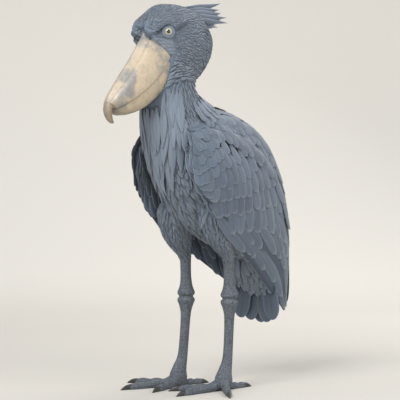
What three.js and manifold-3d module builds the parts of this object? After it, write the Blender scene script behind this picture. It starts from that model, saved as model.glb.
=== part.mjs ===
// A life-size standing shoebill, in millimetres. +Z is up, the bird faces -Y and its left side is +X.
import * as THREE from "three";
import { mergeVertices } from "three/addons/utils/BufferGeometryUtils.js";
import Module from "manifold-3d";

const wasm = await Module();
wasm.setup();

const LEFT = new THREE.Vector3(1, 0, 0);
const UP = new THREE.Vector3(0, 0, 1);
const ORIGIN = new THREE.Vector3(0, 0, 0);
const { clamp, degToRad, lerp, radToDeg } = THREE.MathUtils;

// Driving dimensions
const GAP = 0.4; // clearance that parts the body's named pieces
const CUT_SIZE = 4000; // edge of the block that makes a plane cut
const SIDES = [
  { name: "left", sign: 1 },
  { name: "right", sign: -1 },
];

// Trunk stations from the tail root to the top of the neck: y, z, half width, depth of back, depth of belly
const TRUNK = [
  [246, 318, 22, 12, 12],
  [212, 385, 58, 52, 46],
  [160, 455, 90, 106, 92],
  [92, 530, 112, 144, 138],
  [22, 606, 121, 160, 166],
  [-45, 678, 119, 154, 164],
  [-98, 742, 106, 128, 132],
  [-136, 802, 89, 104, 103],
  [-154, 860, 77, 86, 85],
  [-150, 915, 70, 80, 78],
  [-138, 968, 62, 70, 66],
];
const TRUNK_MESH = { around: 24, along: 26, square: 2.15 };
const NECK_CUT = { y: -118, z: 775, tilt: 0.52 }; // plane that parts torso and neck, tilt in radians

// Head frame: the pivot on top of the neck, turned a little to the bird's right
const HEAD_PIVOT = [0, -140, 0];
const HEAD_TURN = -0.07;
// Head stations from the nape to the forehead: y, z, half width, height above, depth below
const HEAD = [
  [114, 1056, 22, 26, 30],
  [100, 1046, 50, 56, 80],
  [62, 1032, 64, 80, 112],
  [10, 1022, 69, 94, 132],
  [-40, 1016, 64, 99, 146],
  [-82, 1018, 55, 92, 138],
  [-113, 1027, 43, 66, 61],
  [-124, 1035, 28, 42, 27],
];
const HEAD_MESH = { around: 18, along: 12, square: 2.5 };
const EYE = { x: 53, y: -60, z: 1026, radius: 12.5 };

// Brow, left side, from over the ear to the middle of the forehead: x, y, z, thickness, above, below
const BROW = [
  [60, -22, 1047, 6, 7, 7],
  [57, -56, 1052, 12, 13, 15],
  [46, -88, 1048, 17, 16, 17],
  [30, -110, 1041, 18, 17, 18],
  [16, -121, 1037, 11, 12, 12],
];
const LID = {
  radius: EYE.radius + 1.6,
  thickness: 3,
  depth: 3.2,
  out: 4.5,
  bulge: 5,
  upper: 6.5,
  lower: 8.5,
};

// Bill, in its own frame: origin between the eyes, -Y along the bill, +Z to the ridge side
const BILL = { y: -78, z: 992, pitch: 0.86, length: 250 };
// Bill stations: share of length, half width, ridge height, edge height, depth of the lower jaw
const BILL_STATIONS = [
  [-0.06, 50, 44, -38, 38],
  [0.1, 53, 42, -44, 51],
  [0.3, 55, 36, -45, 56],
  [0.5, 54, 32, -40, 56],
  [0.7, 47, 29, -30, 51],
  [0.86, 36, 25, -18, 40],
  [0.96, 24, 19, -9, 26],
];
const BILL_MESH = { rows: 11, columns: 9 };
const UPPER_VAULT = { sign: 1, power: 0.72, keel: 0.1, keelWidth: 0.2, inset: 0 };
const LOWER_VAULT = { sign: -1, power: 0.62, keel: 0, keelWidth: 0.2, inset: 2.5 };
const NOSTRIL = { x: 15, along: 24, height: 40, length: 9, width: 1.6, depth: 7 };
// Hook at the bill's tip: y, z, half width, depth
const HOOK = [
  [-206, 10, 20, 12],
  [-230, 6, 17, 12],
  [-250, 0, 13, 12],
  [-262, -14, 9, 10],
  [-266, -28, 6, 7],
  [-264, -38, 2.5, 3],
];

// Legs, for the left side. The right one is mirrored, and each has its own shift along Y.
const LEG = { x: 78, thighEnd: 384, hock: 262 };
const LEG_SHIFT = { left: 8, right: -10 };
const FOOT_SHIFT = { left: 4, right: -22 };
// Thigh stations: x, y, z, half width, depth in front, depth behind
const THIGH = [
  [66, -50, 560, 34, 36, 36],
  [72, -44, 515, 54, 56, 64],
  [75, -32, 468, 50, 53, 58],
  [77, -14, 428, 36, 41, 42],
  [78, 2, 398, 24, 26, 27],
  [78, 9, 380, 19, 20, 20],
];
// Shank stations: y, z, half width, depth in front, depth behind
const SHANK = [
  [9, 392, 17.5, 18, 18],
  [10, 360, 16, 17.5, 17.5],
  [11, 325, 16, 17.5, 17.5],
  [12, 298, 18, 19.5, 19.5],
  [12, 280, 23, 24, 25],
  [12, 268, 24.5, 26, 26],
  [12, 256, 23, 24, 24],
];
// Tarsus stations: share of the foot's own shift, y, z, half width, depth in front, depth behind
const TARSUS = [
  [0, 12, 268, 23, 24, 24],
  [0, 12, 254, 25, 26, 27],
  [0.05, 12, 236, 20, 21, 23],
  [0.15, 12, 205, 14.5, 17, 17],
  [0.5, 10, 140, 13.5, 16, 15.5],
  [0.8, 6, 85, 14.5, 17.5, 16.5],
  [1, -2, 52, 18, 26, 21],
  [1, -8, 28, 23, 32, 28],
  [1, -8, 6, 19, 26, 24],
];

// Toes: heading from straight ahead in degrees, outward positive; length, root radius and root height
const TOES = [
  { name: "middle", heading: 0, length: 168, radius: 13, height: 27 },
  { name: "inner", heading: -34, length: 140, radius: 12, height: 27 },
  { name: "outer", heading: 50, length: 142, radius: 12, height: 27 },
  { name: "hind", heading: 176, length: 84, radius: 11, height: 24 },
];
const TOE_ROOT_Y = -8;
const TOE_DROP = 2.4; // how soon a toe comes down from its root, in root heights a length
const TOE_BEARING = 0.82; // height of a toe's middle over the floor, in its own radii
// Knuckles along a toe: share of its length, share of its radius
const KNUCKLES = [
  [0, 1.05],
  [0.16, 1.08],
  [0.34, 0.84],
  [0.5, 0.94],
  [0.64, 0.74],
  [0.8, 0.84],
  [0.93, 0.66],
  [1, 0.42],
];
const FOOT_TURN = { left: -3, right: 18 };
const CLAW = { length: 27, buried: 9, radius: 7.5, tip: 0.7, taper: 0.75, raise: 1.5, arch: 4, fall: 13 };
const CLAW_SHARES = [0, 0.25, 0.5, 0.75, 0.92, 1];

// Wing rails for the left wing, from the shoulder to the tip: dorsal edge, upper side, flank, lower edge
const WING_RAILS = {
  dorsal: [
    [30, -102, 812],
    [0.7, -14, 822],
    [0.7, 112, 792],
    [0.7, 232, 712],
    [0.7, 314, 535],
    [18, 335, 222],
  ],
  upper: [
    [84, -136, 764],
    [82, -42, 786],
    [84, 98, 755],
    [80, 214, 668],
    [66, 304, 482],
    [38, 336, 212],
  ],
  flank: [
    [120, -168, 694],
    [143, -98, 668],
    [146, 10, 600],
    [129, 130, 514],
    [94, 252, 384],
    [46, 325, 204],
  ],
  lower: [
    [118, -174, 628],
    [131, -127, 545],
    [124, -33, 455],
    [104, 76, 376],
    [78, 190, 296],
    [53, 314, 202],
  ],
};
const WING_MESH = { rows: 12, columns: 8, middle: 0.7 };
const WING_THICKNESS = { root: 26, rear: 9, edge: 3, lowerRim: 6, tipRim: 8, thinning: 1.2 };

// Rows of the left wing's feathers, from the flight feathers up to the shoulder's. Each row runs from the
// front of the wing to its rear: shares along and across the wing, feather lengths, width, and lift at root
// and tip.
const WING_ROWS = [
  { count: 6, from: [0.52, 0.62], to: [0.84, 0.3], length: [190, 250], width: 40, lift: [-3, 3] },
  { count: 7, from: [0.14, 0.7], to: [0.72, 0.26], length: [130, 165], width: 46, lift: [-3, 6] },
  { count: 6, from: [0.08, 0.58], to: [0.62, 0.16], length: [92, 110], width: 50, lift: [-3, 7] },
  { count: 5, from: [0.06, 0.42], to: [0.48, 0.12], length: [66, 80], width: 48, lift: [-3, 8] },
  { count: 3, from: [0.06, 0.25], to: [0.28, 0.1], length: [60, 70], width: 50, lift: [-3, 8] },
  { count: 5, from: [0.16, 0.06], to: [0.6, 0.06], length: [90, 115], width: 50, lift: [-5, 2] },
];
const FEATHER_FALL = new THREE.Vector3(0, 0.3, -1).normalize(); // way that the wing's feathers point
const FEATHER_STAGGER = 1.2; // every second feather lies this much higher at its tip
const WALK = { steps: 8, probe: 0.01, margin: 0.02 };

// Tail: a short stub and a fan of broad feathers
const TAIL = {
  root: [0, 238, 330],
  tip: [0, 247, 172],
  rootSpread: 40,
  rootBack: 6,
  fan: 72,
  curl: 16,
  tipRise: 14,
  stagger: 5,
  feathers: 9,
  width: 46,
  thickness: 4,
};
// Tail stub stations: y, z, half width, depth in front, depth behind
const TAIL_STUB = [
  [214, 372, 40, 14, 16],
  [228, 330, 50, 14, 15],
  [236, 290, 52, 9, 10],
];
const TAIL_STUB_MESH = { around: 14, along: 5, square: 3 };

// Ruff: pointed feathers that hang from the foot of the neck over the breast, in two rows.
// Root and tip are shares along the trunk, spread is in radians to each side, lift is over the trunk.
const RUFF = [
  { count: 8, spread: 0.98, root: 0.76, tip: 0.5, width: 34, lift: [-9, 4, 7] },
  { count: 6, spread: 0.78, root: 0.8, tip: 0.57, width: 34, lift: [-9, 8, 12] },
];
const RUFF_TIP_VARY = [0, 0.03, -0.02, 0.01, -0.03, 0.02, 0, 0.03];
const RUFF_FLOW = { surfaced: 0.3, gather: 0.12, sideRise: 0.05, measureAt: 0.65, measureAngle: 0.2 };

// Crest: a small tuft of feathers that stands back from the nape
const CREST = { count: 7, y: 66, z: 1096, length: [138, 108], rise: [-0.02, 0.3], width: 18, thickness: 5 };
const CREST_SPREAD = { root: 24, direction: 0.3, sink: 10, stride: 3 };

const VANE_THICKNESS = 4;
const VANE_SHARES = [0, 0.35, 0.7, 0.9, 1];
const ROUNDED = { width: [0.5, 0.95, 1, 0.8, 0.3], depth: [1, 1, 0.85, 0.7, 0.35] };
const POINTED = { width: [0.55, 1, 0.75, 0.36, 0.1], depth: [1, 1, 0.8, 0.55, 0.25] };

const FINISH = {
  plumage: { color: 0x6d7d92, roughness: 0.85, metalness: 0 },
  flight: { color: 0x4d5a6b, roughness: 0.8, metalness: 0 },
  bill: { color: 0xb59a78, roughness: 0.5, metalness: 0 },
  eye: { color: 0xd8d5b4, roughness: 0.1, metalness: 0 },
  leg: { color: 0x3f444b, roughness: 0.7, metalness: 0 },
  claw: { color: 0x24262a, roughness: 0.45, metalness: 0 },
};
// Finish by the first word of a node's name. What isn't listed is plumage.
const FINISH_OF = {
  wing: "flight",
  tail: "flight",
  bill: "bill",
  eye: "eye",
  shank: "leg",
  tarsus: "leg",
  toe: "leg",
  claw: "claw",
};

const list = (count, make) => Array.from({ length: count }, (_, i) => make(i));
const spreadOf = (index, count) => (2 * index) / (count - 1) - 1; // from -1 to 1
const smoothCurve = (points) =>
  new THREE.CatmullRomCurve3(points.map((p) => new THREE.Vector3(...p)), false, "catmullrom", 0.5);

// Solids from three.js geometry
function solidOf(geometry) {
  const bare = geometry.clone();
  bare.deleteAttribute("normal");
  bare.deleteAttribute("uv");
  const merged = mergeVertices(bare, 1e-4);
  return new wasm.Manifold(
    new wasm.Mesh({
      numProp: 3,
      vertProperties: new Float32Array(merged.attributes.position.array),
      triVerts: new Uint32Array(merged.index.array),
    }),
  );
}

function largestPiece(solid) {
  return solid.decompose().reduce((best, piece) => (piece.volume() > best.volume() ? piece : best));
}

function geometryOf(solid) {
  const { numProp, vertProperties, triVerts } = solid.getMesh();
  const position = new Float32Array((vertProperties.length / numProp) * 3);
  for (let i = 0; i < position.length / 3; i++)
    position.set(vertProperties.subarray(i * numProp, i * numProp + 3), i * 3);
  return new THREE.BufferGeometry()
    .setAttribute("position", new THREE.BufferAttribute(position, 3))
    .setIndex(new THREE.BufferAttribute(new Uint32Array(triVerts), 1));
}

const joined = (solids) => wasm.Manifold.union(solids);
const mirrored = (solid) => solid.mirror([1, 0, 0]);
const sided = (solid, sign) => (sign > 0 ? solid : mirrored(solid));

// The half space on the far side of a plane through a point, as a large block
function halfSpace(point, normal) {
  const block = new THREE.BoxGeometry(CUT_SIZE, CUT_SIZE, CUT_SIZE);
  const turn = new THREE.Quaternion().setFromUnitVectors(UP, normal);
  block.translate(0, 0, CUT_SIZE / 2).applyQuaternion(turn);
  block.translate(point.x, point.y, point.z);
  return solidOf(block);
}
const above = (z) => halfSpace(new THREE.Vector3(0, 0, z), UP);

// A loft is a sphere whose rings are laid along a curve. Each station holds x, y, z, half width, two depths.
function loftFrame(stations, side = LEFT) {
  const centres = smoothCurve(stations.map((s) => s.slice(0, 3)));
  const sizes = smoothCurve(stations.map((s) => s.slice(3)));
  return (share) => {
    const along = centres.getTangent(share).normalize();
    const across = side.clone().addScaledVector(along, -side.dot(along)).normalize();
    const depth = new THREE.Vector3().crossVectors(along, across);
    return { centre: centres.getPoint(share), along, across, depth, size: sizes.getPoint(share) };
  };
}

function loftPoint(frame, angle, square, grow) {
  const bend = (v) => Math.sign(v) * Math.abs(v) ** (2 / square);
  const reach = (Math.sin(angle) > 0 ? frame.size.y : frame.size.z) + grow;
  return frame.centre.clone()
    .addScaledVector(frame.across, bend(Math.cos(angle)) * (frame.size.x + grow))
    .addScaledVector(frame.depth, bend(Math.sin(angle)) * reach);
}

function loft(stations, { around, along, side, square = 2, grow = 0 }) {
  const frameAt = loftFrame(stations, side);
  const geometry = new THREE.SphereGeometry(1, around, along);
  const position = geometry.attributes.position;
  for (let row = 0; row <= along; row++) {
    const frame = frameAt(clamp((row - 1) / (along - 2), 0, 1));
    if (row <= 1) frame.centre.addScaledVector(frame.along, -grow);
    if (row >= along - 1) frame.centre.addScaledVector(frame.along, grow);
    const atPole = row === 0 || row === along;
    for (let column = 0; column <= around; column++) {
      const angle = Math.PI - ((column % around) / around) * 2 * Math.PI;
      const point = atPole ? frame.centre : loftPoint(frame, angle, square, grow);
      position.setXYZ(row * (around + 1) + column, point.x, point.y, point.z);
    }
  }
  return solidOf(geometry);
}

// A feather: four faces round, thick along the shaft and thin at the edges and the tip
function vane(pathAt, across, width, thickness, form) {
  const stations = VANE_SHARES.map((share, i) => {
    const depth = (thickness / 2) * form.depth[i];
    return [...pathAt(share).toArray(), (width / 2) * form.width[i], depth, depth];
  });
  return loft(stations, { around: 4, along: VANE_SHARES.length + 1, side: across });
}

// A closed sheet between an outer and an inner surface, both functions of two shares from 0 to 1
function sheet(outer, inner, rows, columns) {
  const vertices = [];
  const triangles = [];
  const at = (layer, i, j) => (layer * (rows + 1) + i) * (columns + 1) + j;
  const quad = (a, b, c, d) => triangles.push(a, b, c, a, c, d);
  for (const surface of [outer, inner])
    for (let i = 0; i <= rows; i++)
      for (let j = 0; j <= columns; j++) vertices.push(...surface(i / rows, j / columns).toArray());
  for (let i = 0; i < rows; i++)
    for (let j = 0; j < columns; j++) {
      quad(at(0, i, j), at(0, i + 1, j), at(0, i + 1, j + 1), at(0, i, j + 1));
      triangles.push(at(1, i, j), at(1, i + 1, j + 1), at(1, i + 1, j));
      triangles.push(at(1, i, j), at(1, i, j + 1), at(1, i + 1, j + 1));
    }
  for (let i = 0; i < rows; i++) {
    quad(at(0, i + 1, 0), at(0, i, 0), at(1, i, 0), at(1, i + 1, 0));
    quad(at(0, i, columns), at(0, i + 1, columns), at(1, i + 1, columns), at(1, i, columns));
  }
  for (let j = 0; j < columns; j++) {
    quad(at(0, 0, j), at(0, 0, j + 1), at(1, 0, j + 1), at(1, 0, j));
    quad(at(0, rows, j + 1), at(0, rows, j), at(1, rows, j), at(1, rows, j + 1));
  }
  const geometry = new THREE.BufferGeometry()
    .setAttribute("position", new THREE.Float32BufferAttribute(vertices, 3));
  const solid = solidOf(geometry.setIndex(triangles));
  return solid.volume() > 0 ? solid : solidOf(geometry.setIndex(triangles.reverse()));
}

// Trunk: torso and neck are one form, parted by a thin cut
const trunkStations = TRUNK.map((station) => [0, ...station]);
const trunk = (grow) => loft(trunkStations, { ...TRUNK_MESH, grow });
const neckNormal = new THREE.Vector3(0, -Math.sin(NECK_CUT.tilt), Math.cos(NECK_CUT.tilt));
const neckPoint = new THREE.Vector3(0, NECK_CUT.y, NECK_CUT.z);
const aboveNeckCut = (shift) => halfSpace(neckPoint.clone().addScaledVector(neckNormal, shift), neckNormal);

// Head
const inHead = (solid) => solid.rotate([0, 0, radToDeg(HEAD_TURN)]).translate(HEAD_PIVOT);
const cranium = (grow) => loft(HEAD.map((station) => [0, ...station]), { ...HEAD_MESH, grow });
const brow = () => loft(BROW, { around: 8, along: 7, side: UP });
const eye = (grow) =>
  solidOf(new THREE.SphereGeometry(EYE.radius + grow, 12, 8).translate(EYE.x, EYE.y, EYE.z));

// A lid is an arc that hugs the eye, from its front corner over or under it to its rear corner
function lid(rise) {
  const stations = [-1, -0.6, 0, 0.6, 1].map((share) => {
    const bow = Math.sqrt(1 - (share * 0.98) ** 2);
    const out = EYE.x + LID.out + LID.bulge * bow;
    return [out, EYE.y + share * LID.radius, EYE.z + rise * bow, LID.thickness, LID.depth, LID.depth];
  });
  return loft(stations, { around: 5, along: 6, side: UP });
}

function crestVane(index) {
  const share = index / (CREST.count - 1);
  const sideways = spreadOf((index * CREST_SPREAD.stride) % CREST.count, CREST.count) / 2;
  const rise = lerp(...CREST.rise, share);
  const direction = new THREE.Vector3(sideways * CREST_SPREAD.direction, 1, rise).normalize();
  const sink = CREST_SPREAD.sink * (1 - share);
  const root = new THREE.Vector3(sideways * CREST_SPREAD.root, CREST.y, CREST.z - sink);
  const reach = lerp(...CREST.length, share);
  const pathAt = (u) => root.clone().addScaledVector(direction, u * reach);
  return vane(pathAt, new THREE.Vector3(sideways, 0, 1), CREST.width, CREST.thickness, POINTED);
}

function headShape(grow) {
  const half = [brow(), lid(LID.upper), lid(-LID.lower)];
  return joined([cranium(grow), ...half, ...half.map(mirrored), ...list(CREST.count, crestVane)]);
}

// Bill
const inBill = (solid) => inHead(solid.rotate([radToDeg(BILL.pitch), 0, 0]).translate([0, BILL.y, BILL.z]));

// One half of the bill: a flat face on the line of the mouth and a vault above or below it
function billHalf({ sign, power, keel, keelWidth, inset }, grow = 0) {
  const last = BILL_STATIONS.length - 1;
  const ends = (i) => (i === 0) * grow - (i === last) * grow;
  const mouth = smoothCurve(BILL_STATIONS.map(([share, , , edge], i) =>
    [0, -share * BILL.length + ends(i), edge + (sign * GAP) / 2]));
  const sizes = smoothCurve(BILL_STATIONS.map(([, halfWidth, ridge, edge, jaw]) =>
    [halfWidth - inset, sign > 0 ? ridge - edge : jaw, 0]));
  const sideways = (size, u) => Math.cos(Math.PI * (1 - u)) * (size.x + grow);
  const vault = (t, u) => {
    const size = sizes.getPoint(t);
    const x = sideways(size, u);
    const round = Math.sin(Math.PI * (1 - u));
    const ridge = keel * Math.exp(-((x / (keelWidth * size.x)) ** 2)) * round;
    const lift = (size.y + grow) * (round ** power * (1 - keel) + ridge);
    return mouth.getPoint(t).add(new THREE.Vector3(x, 0, sign * lift));
  };
  const flat = (t, u) => {
    const x = sideways(sizes.getPoint(t), u);
    return mouth.getPoint(t).add(new THREE.Vector3(x, 0, -sign * grow));
  };
  return sheet(vault, flat, BILL_MESH.rows, BILL_MESH.columns);
}

const nostril = () => loft([-1, 0, 1].map((share) => [
  NOSTRIL.x + share,
  -NOSTRIL.along - share * NOSTRIL.length,
  NOSTRIL.height - share,
  NOSTRIL.width,
  NOSTRIL.depth,
  NOSTRIL.depth,
]), { around: 4, along: 4 });
const hook = () =>
  loft(HOOK.map(([y, z, width, depth]) => [0, y, z, width, depth, depth]), { around: 8, along: 8 });

// Legs
const thigh = (sign, shift, grow) =>
  loft(THIGH.map(([x, y, ...rest]) => [sign * x, y + shift, ...rest]), { around: 12, along: 9, grow });
const shank = (sign, shift) =>
  loft(SHANK.map(([y, ...rest]) => [sign * LEG.x, y + shift, ...rest]), { around: 10, along: 9 });
const tarsus = (sign, shift, foot, grow = 0) =>
  loft(TARSUS.map(([share, y, ...rest]) => [sign * LEG.x, y + lerp(shift, foot, share), ...rest]),
    { around: 10, along: 12, grow });

// A toe lies along the floor with knuckles, and its underside is flat where it bears
const aboveFloor = halfSpace(ORIGIN, UP);
function toeStations({ name, sign }, { heading, length, radius, height }) {
  const angle = degToRad(heading + FOOT_TURN[name]);
  return KNUCKLES.map(([share, fat]) => {
    const reach = share * length;
    const r = radius * fat;
    const x = sign * (LEG.x + Math.sin(angle) * reach);
    const y = TOE_ROOT_Y + FOOT_SHIFT[name] - Math.cos(angle) * reach;
    return [x, y, Math.max(height * (1 - share * TOE_DROP), r * TOE_BEARING), r, r, r];
  });
}
const toe = (side, spec, grow = 0) =>
  loft(toeStations(side, spec), { around: 8, along: 10, side: UP, square: 2.3, grow }).intersect(aboveFloor);

function claw(side, spec) {
  const stations = toeStations(side, spec);
  const [tip, before] = [stations.at(-1), stations.at(-3)];
  const run = new THREE.Vector3(tip[0] - before[0], tip[1] - before[1], 0).normalize();
  const base = new THREE.Vector3(...tip.slice(0, 3)).addScaledVector(run, -CLAW.buried);
  const rings = CLAW_SHARES.map((share) => {
    const p = base.clone().addScaledVector(run, share * (CLAW.length + CLAW.buried));
    const r = CLAW.radius * (1 - share) ** CLAW.taper + CLAW.tip;
    const z = base.z + CLAW.raise + CLAW.arch * share - CLAW.fall * share * share;
    return [p.x, p.y, z, r, r * 0.8, r * 0.8];
  });
  return loft(rings, { around: 6, along: 6, side: UP }).intersect(aboveFloor);
}

// Wing surface: share s from shoulder to tip and share t from the dorsal to the lower edge
const railCurves = Object.values(WING_RAILS).map(smoothCurve);
const wingPoint = (s, t) => smoothCurve(railCurves.map((rail) => rail.getPoint(s).toArray())).getPoint(t);

function wingTangents(s, t) {
  const [a, b] = [s, t].map((v) => clamp(v, WALK.margin, 1 - WALK.margin));
  const h = WALK.probe;
  const alongS = wingPoint(a + h, b).sub(wingPoint(a - h, b)).divideScalar(2 * h);
  const alongT = wingPoint(a, b + h).sub(wingPoint(a, b - h)).divideScalar(2 * h);
  return { alongS, alongT, normal: new THREE.Vector3().crossVectors(alongT, alongS).normalize() };
}

function wingInner(s, t) {
  const { root, rear, edge, lowerRim, tipRim, thinning } = WING_THICKNESS;
  const full = lerp(root, rear, Math.min(1, s * thinning));
  const rim = Math.min(1, (1 - t) * lowerRim) * Math.min(1, (1 - s) * tipRim);
  const inner = wingPoint(s, t).addScaledVector(wingTangents(s, t).normal, -lerp(edge, full, rim));
  inner.x = Math.max(inner.x, WING_MESH.middle);
  return inner;
}

// A walk over the wing's surface in a fixed direction. Past an edge it goes straight on.
function wingWalk(s, t, direction, length) {
  const pace = length / WALK.steps;
  const points = [wingPoint(s, t)];
  for (let i = 0; i < WALK.steps; i++) {
    const { alongS, alongT, normal } = wingTangents(s, t);
    const flat = direction.clone().addScaledVector(normal, -direction.dot(normal)).normalize();
    const [ss, st, tt] = [alongS.dot(alongS), alongS.dot(alongT), alongT.dot(alongT)];
    const [fs, ft] = [flat.dot(alongS), flat.dot(alongT)];
    const area = ss * tt - st * st;
    s += (pace * (fs * tt - ft * st)) / area;
    t += (pace * (ft * ss - fs * st)) / area;
    const inside = Math.min(s, t, 1 - s, 1 - t) > WALK.margin;
    points.push(inside ? wingPoint(s, t) : points.at(-1).clone().addScaledVector(flat, pace));
  }
  return smoothCurve(points.map((p) => p.toArray()));
}

function wingVane(row, index) {
  const share = index / (row.count - 1);
  const s = lerp(row.from[0], row.to[0], share);
  const t = lerp(row.from[1], row.to[1], share);
  const curve = wingWalk(s, t, FEATHER_FALL, lerp(...row.length, share));
  const { normal } = wingTangents(s + 0.08, t + 0.12); // about a third of the way down the feather
  const across = new THREE.Vector3().crossVectors(normal, curve.getTangent(0.5));
  const stagger = (index % 2) * FEATHER_STAGGER;
  const liftAt = (u) => lerp(...row.lift, Math.sqrt(u)) + stagger * u;
  const pathAt = (u) => curve.getPoint(u).addScaledVector(normal, liftAt(u));
  return vane(pathAt, across, row.width, VANE_THICKNESS, ROUNDED);
}

const leftOfMiddle = halfSpace(new THREE.Vector3(GAP, 0, 0), LEFT);
function leftWing() {
  const vanes = WING_ROWS.flatMap((row) => list(row.count, (i) => wingVane(row, i)));
  const arm = sheet(wingPoint, wingInner, WING_MESH.rows, WING_MESH.columns);
  return joined([arm, ...vanes]).intersect(leftOfMiddle);
}

// Tail
function tailVane(index, grow) {
  const place = spreadOf(index, TAIL.feathers);
  const out = Math.abs(place);
  const [, rootY, rootZ] = TAIL.root;
  const [, tipY, tipZ] = TAIL.tip;
  const root = new THREE.Vector3(place * TAIL.rootSpread, rootY - out * TAIL.rootBack, rootZ);
  const rise = place ** 2 * TAIL.tipRise + (index % 2) * TAIL.stagger;
  const tip = new THREE.Vector3(place * TAIL.fan, tipY - out * TAIL.curl, tipZ + rise);
  const pathAt = (u) => root.clone().lerp(tip, u);
  return vane(pathAt, LEFT, TAIL.width + 2 * grow, TAIL.thickness + 2 * grow, ROUNDED);
}
function tailShape(grow) {
  const stub = loft(TAIL_STUB.map((station) => [0, ...station]), { ...TAIL_STUB_MESH, grow });
  return joined([stub, ...list(TAIL.feathers, (i) => tailVane(i, grow))]);
}

// Ruff
const trunkFrame = loftFrame(trunkStations);
const breastPoint = (share, angle, lift) => loftPoint(trunkFrame(share), angle, TRUNK_MESH.square, lift);
function ruffVane(row, index, grow) {
  const { surfaced, gather, sideRise, measureAt, measureAngle } = RUFF_FLOW;
  const place = spreadOf(index, row.count);
  const angle = -Math.PI / 2 + place * row.spread;
  const end = row.tip + RUFF_TIP_VARY[index] + sideRise * place ** 2;
  const [buried, clear, tip] = row.lift;
  const liftAt = (u) =>
    u < surfaced ? lerp(buried, clear, u / surfaced) : lerp(clear, tip, (u - surfaced) / (1 - surfaced));
  const pathAt = (u) => breastPoint(lerp(row.root, end, u), angle - place * gather * u, liftAt(u));
  const across = breastPoint(measureAt, angle + measureAngle, 0)
    .sub(breastPoint(measureAt, angle - measureAngle, 0)).normalize();
  return vane(pathAt, across, row.width + 4 * grow, VANE_THICKNESS + 4 * grow, POINTED);
}
const ruff = (grow) => joined(RUFF.flatMap((row) => list(row.count, (i) => ruffVane(row, i, grow))));

// The finished nodes. Each keeps clear of its neighbours by the gap.
const whole = trunk(0);
const trunkClear = trunk(GAP);
const torsoClear = trunkClear.subtract(aboveNeckCut(GAP / 2));
const ruffClear = ruff(GAP);
const tailClear = tailShape(GAP);
const billClear = inBill(joined([billHalf(UPPER_VAULT, GAP), billHalf(LOWER_VAULT, GAP)]));
const headClear = inHead(headShape(GAP));
const eyesClear = inHead(joined([eye(GAP), mirrored(eye(GAP))]));
const neckAndRuff = joined([whole.intersect(aboveNeckCut(GAP / 2)), ruff(0)]);
const upperJaw = joined([billHalf(UPPER_VAULT), hook()]).subtract(nostril()).subtract(mirrored(nostril()));

const solids = {
  torso: whole.subtract(aboveNeckCut(-GAP / 2)),
  neck: neckAndRuff.subtract(torsoClear).subtract(headClear).subtract(billClear),
  head: inHead(headShape(0)).subtract(billClear).subtract(eyesClear),
  bill_upper: inBill(upperJaw),
  bill_lower: inBill(billHalf(LOWER_VAULT).subtract(hook())),
  tail: tailShape(0).subtract(trunkClear),
};

const wing = leftWing();
for (const side of SIDES) {
  const { name, sign } = side;
  const legShift = LEG_SHIFT[name];
  const footShift = FOOT_SHIFT[name];
  const thighClear = thigh(sign, legShift, GAP);
  solids[`eye_${name}`] = inHead(sided(eye(0), sign));
  solids[`wing_${name}`] = sided(wing, sign)
    .subtract(trunkClear).subtract(thighClear).subtract(ruffClear).subtract(tailClear);
  solids[`thigh_${name}`] = thigh(sign, legShift, 0)
    .subtract(trunkClear).intersect(above(LEG.thighEnd + GAP / 2));
  solids[`shank_${name}`] = shank(sign, legShift)
    .intersect(above(LEG.hock + GAP / 2)).subtract(above(LEG.thighEnd - GAP / 2));
  solids[`tarsus_${name}`] = tarsus(sign, legShift, footShift).subtract(above(LEG.hock - GAP / 2));

  let taken = tarsus(sign, legShift, footShift, GAP);
  for (const spec of TOES) {
    const toeClear = toe(side, spec, GAP);
    solids[`toe_${spec.name}_${name}`] = toe(side, spec).subtract(taken);
    solids[`claw_${spec.name}_${name}`] = claw(side, spec).subtract(toeClear);
    taken = joined([taken, toeClear]);
  }
}

// The bird stands with the middle of its outline over the origin
const materials = Object.fromEntries(
  Object.entries(FINISH).map(([name, look]) => [name, new THREE.MeshStandardMaterial(look)]));
const shoebill = new THREE.Group();
for (const [name, solid] of Object.entries(solids)) {
  const finish = FINISH_OF[name.split("_")[0]] ?? "plumage";
  const mesh = new THREE.Mesh(geometryOf(largestPiece(solid)), materials[finish]);
  mesh.name = name;
  shoebill.add(mesh);
}
const outline = new THREE.Box3().setFromObject(shoebill);
const middle = outline.getCenter(new THREE.Vector3());
shoebill.position.set(-middle.x, -middle.y, -outline.min.z);

export default shoebill;
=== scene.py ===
# A standing shoebill in real slate-grey plumage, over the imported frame. Metres, +Z up, the bird faces -Y.
import math

import bpy
import numpy as np
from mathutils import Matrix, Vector
from mathutils.bvhtree import BVHTree
from mathutils.kdtree import KDTree


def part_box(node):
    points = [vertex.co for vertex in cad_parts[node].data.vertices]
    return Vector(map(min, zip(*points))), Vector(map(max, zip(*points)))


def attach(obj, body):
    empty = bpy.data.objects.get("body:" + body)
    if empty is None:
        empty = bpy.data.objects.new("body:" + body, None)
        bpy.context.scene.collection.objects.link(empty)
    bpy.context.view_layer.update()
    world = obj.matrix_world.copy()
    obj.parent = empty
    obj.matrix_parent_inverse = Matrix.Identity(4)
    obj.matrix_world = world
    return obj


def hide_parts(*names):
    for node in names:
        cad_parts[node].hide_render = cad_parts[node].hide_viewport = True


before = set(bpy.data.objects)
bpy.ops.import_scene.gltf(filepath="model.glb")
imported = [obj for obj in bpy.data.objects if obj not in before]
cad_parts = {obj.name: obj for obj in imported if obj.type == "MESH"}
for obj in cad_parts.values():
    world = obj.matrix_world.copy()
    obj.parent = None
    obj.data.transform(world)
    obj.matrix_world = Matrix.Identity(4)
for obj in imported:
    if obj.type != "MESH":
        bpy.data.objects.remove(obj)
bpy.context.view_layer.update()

MM = 0.001
SEED = 11

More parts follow.
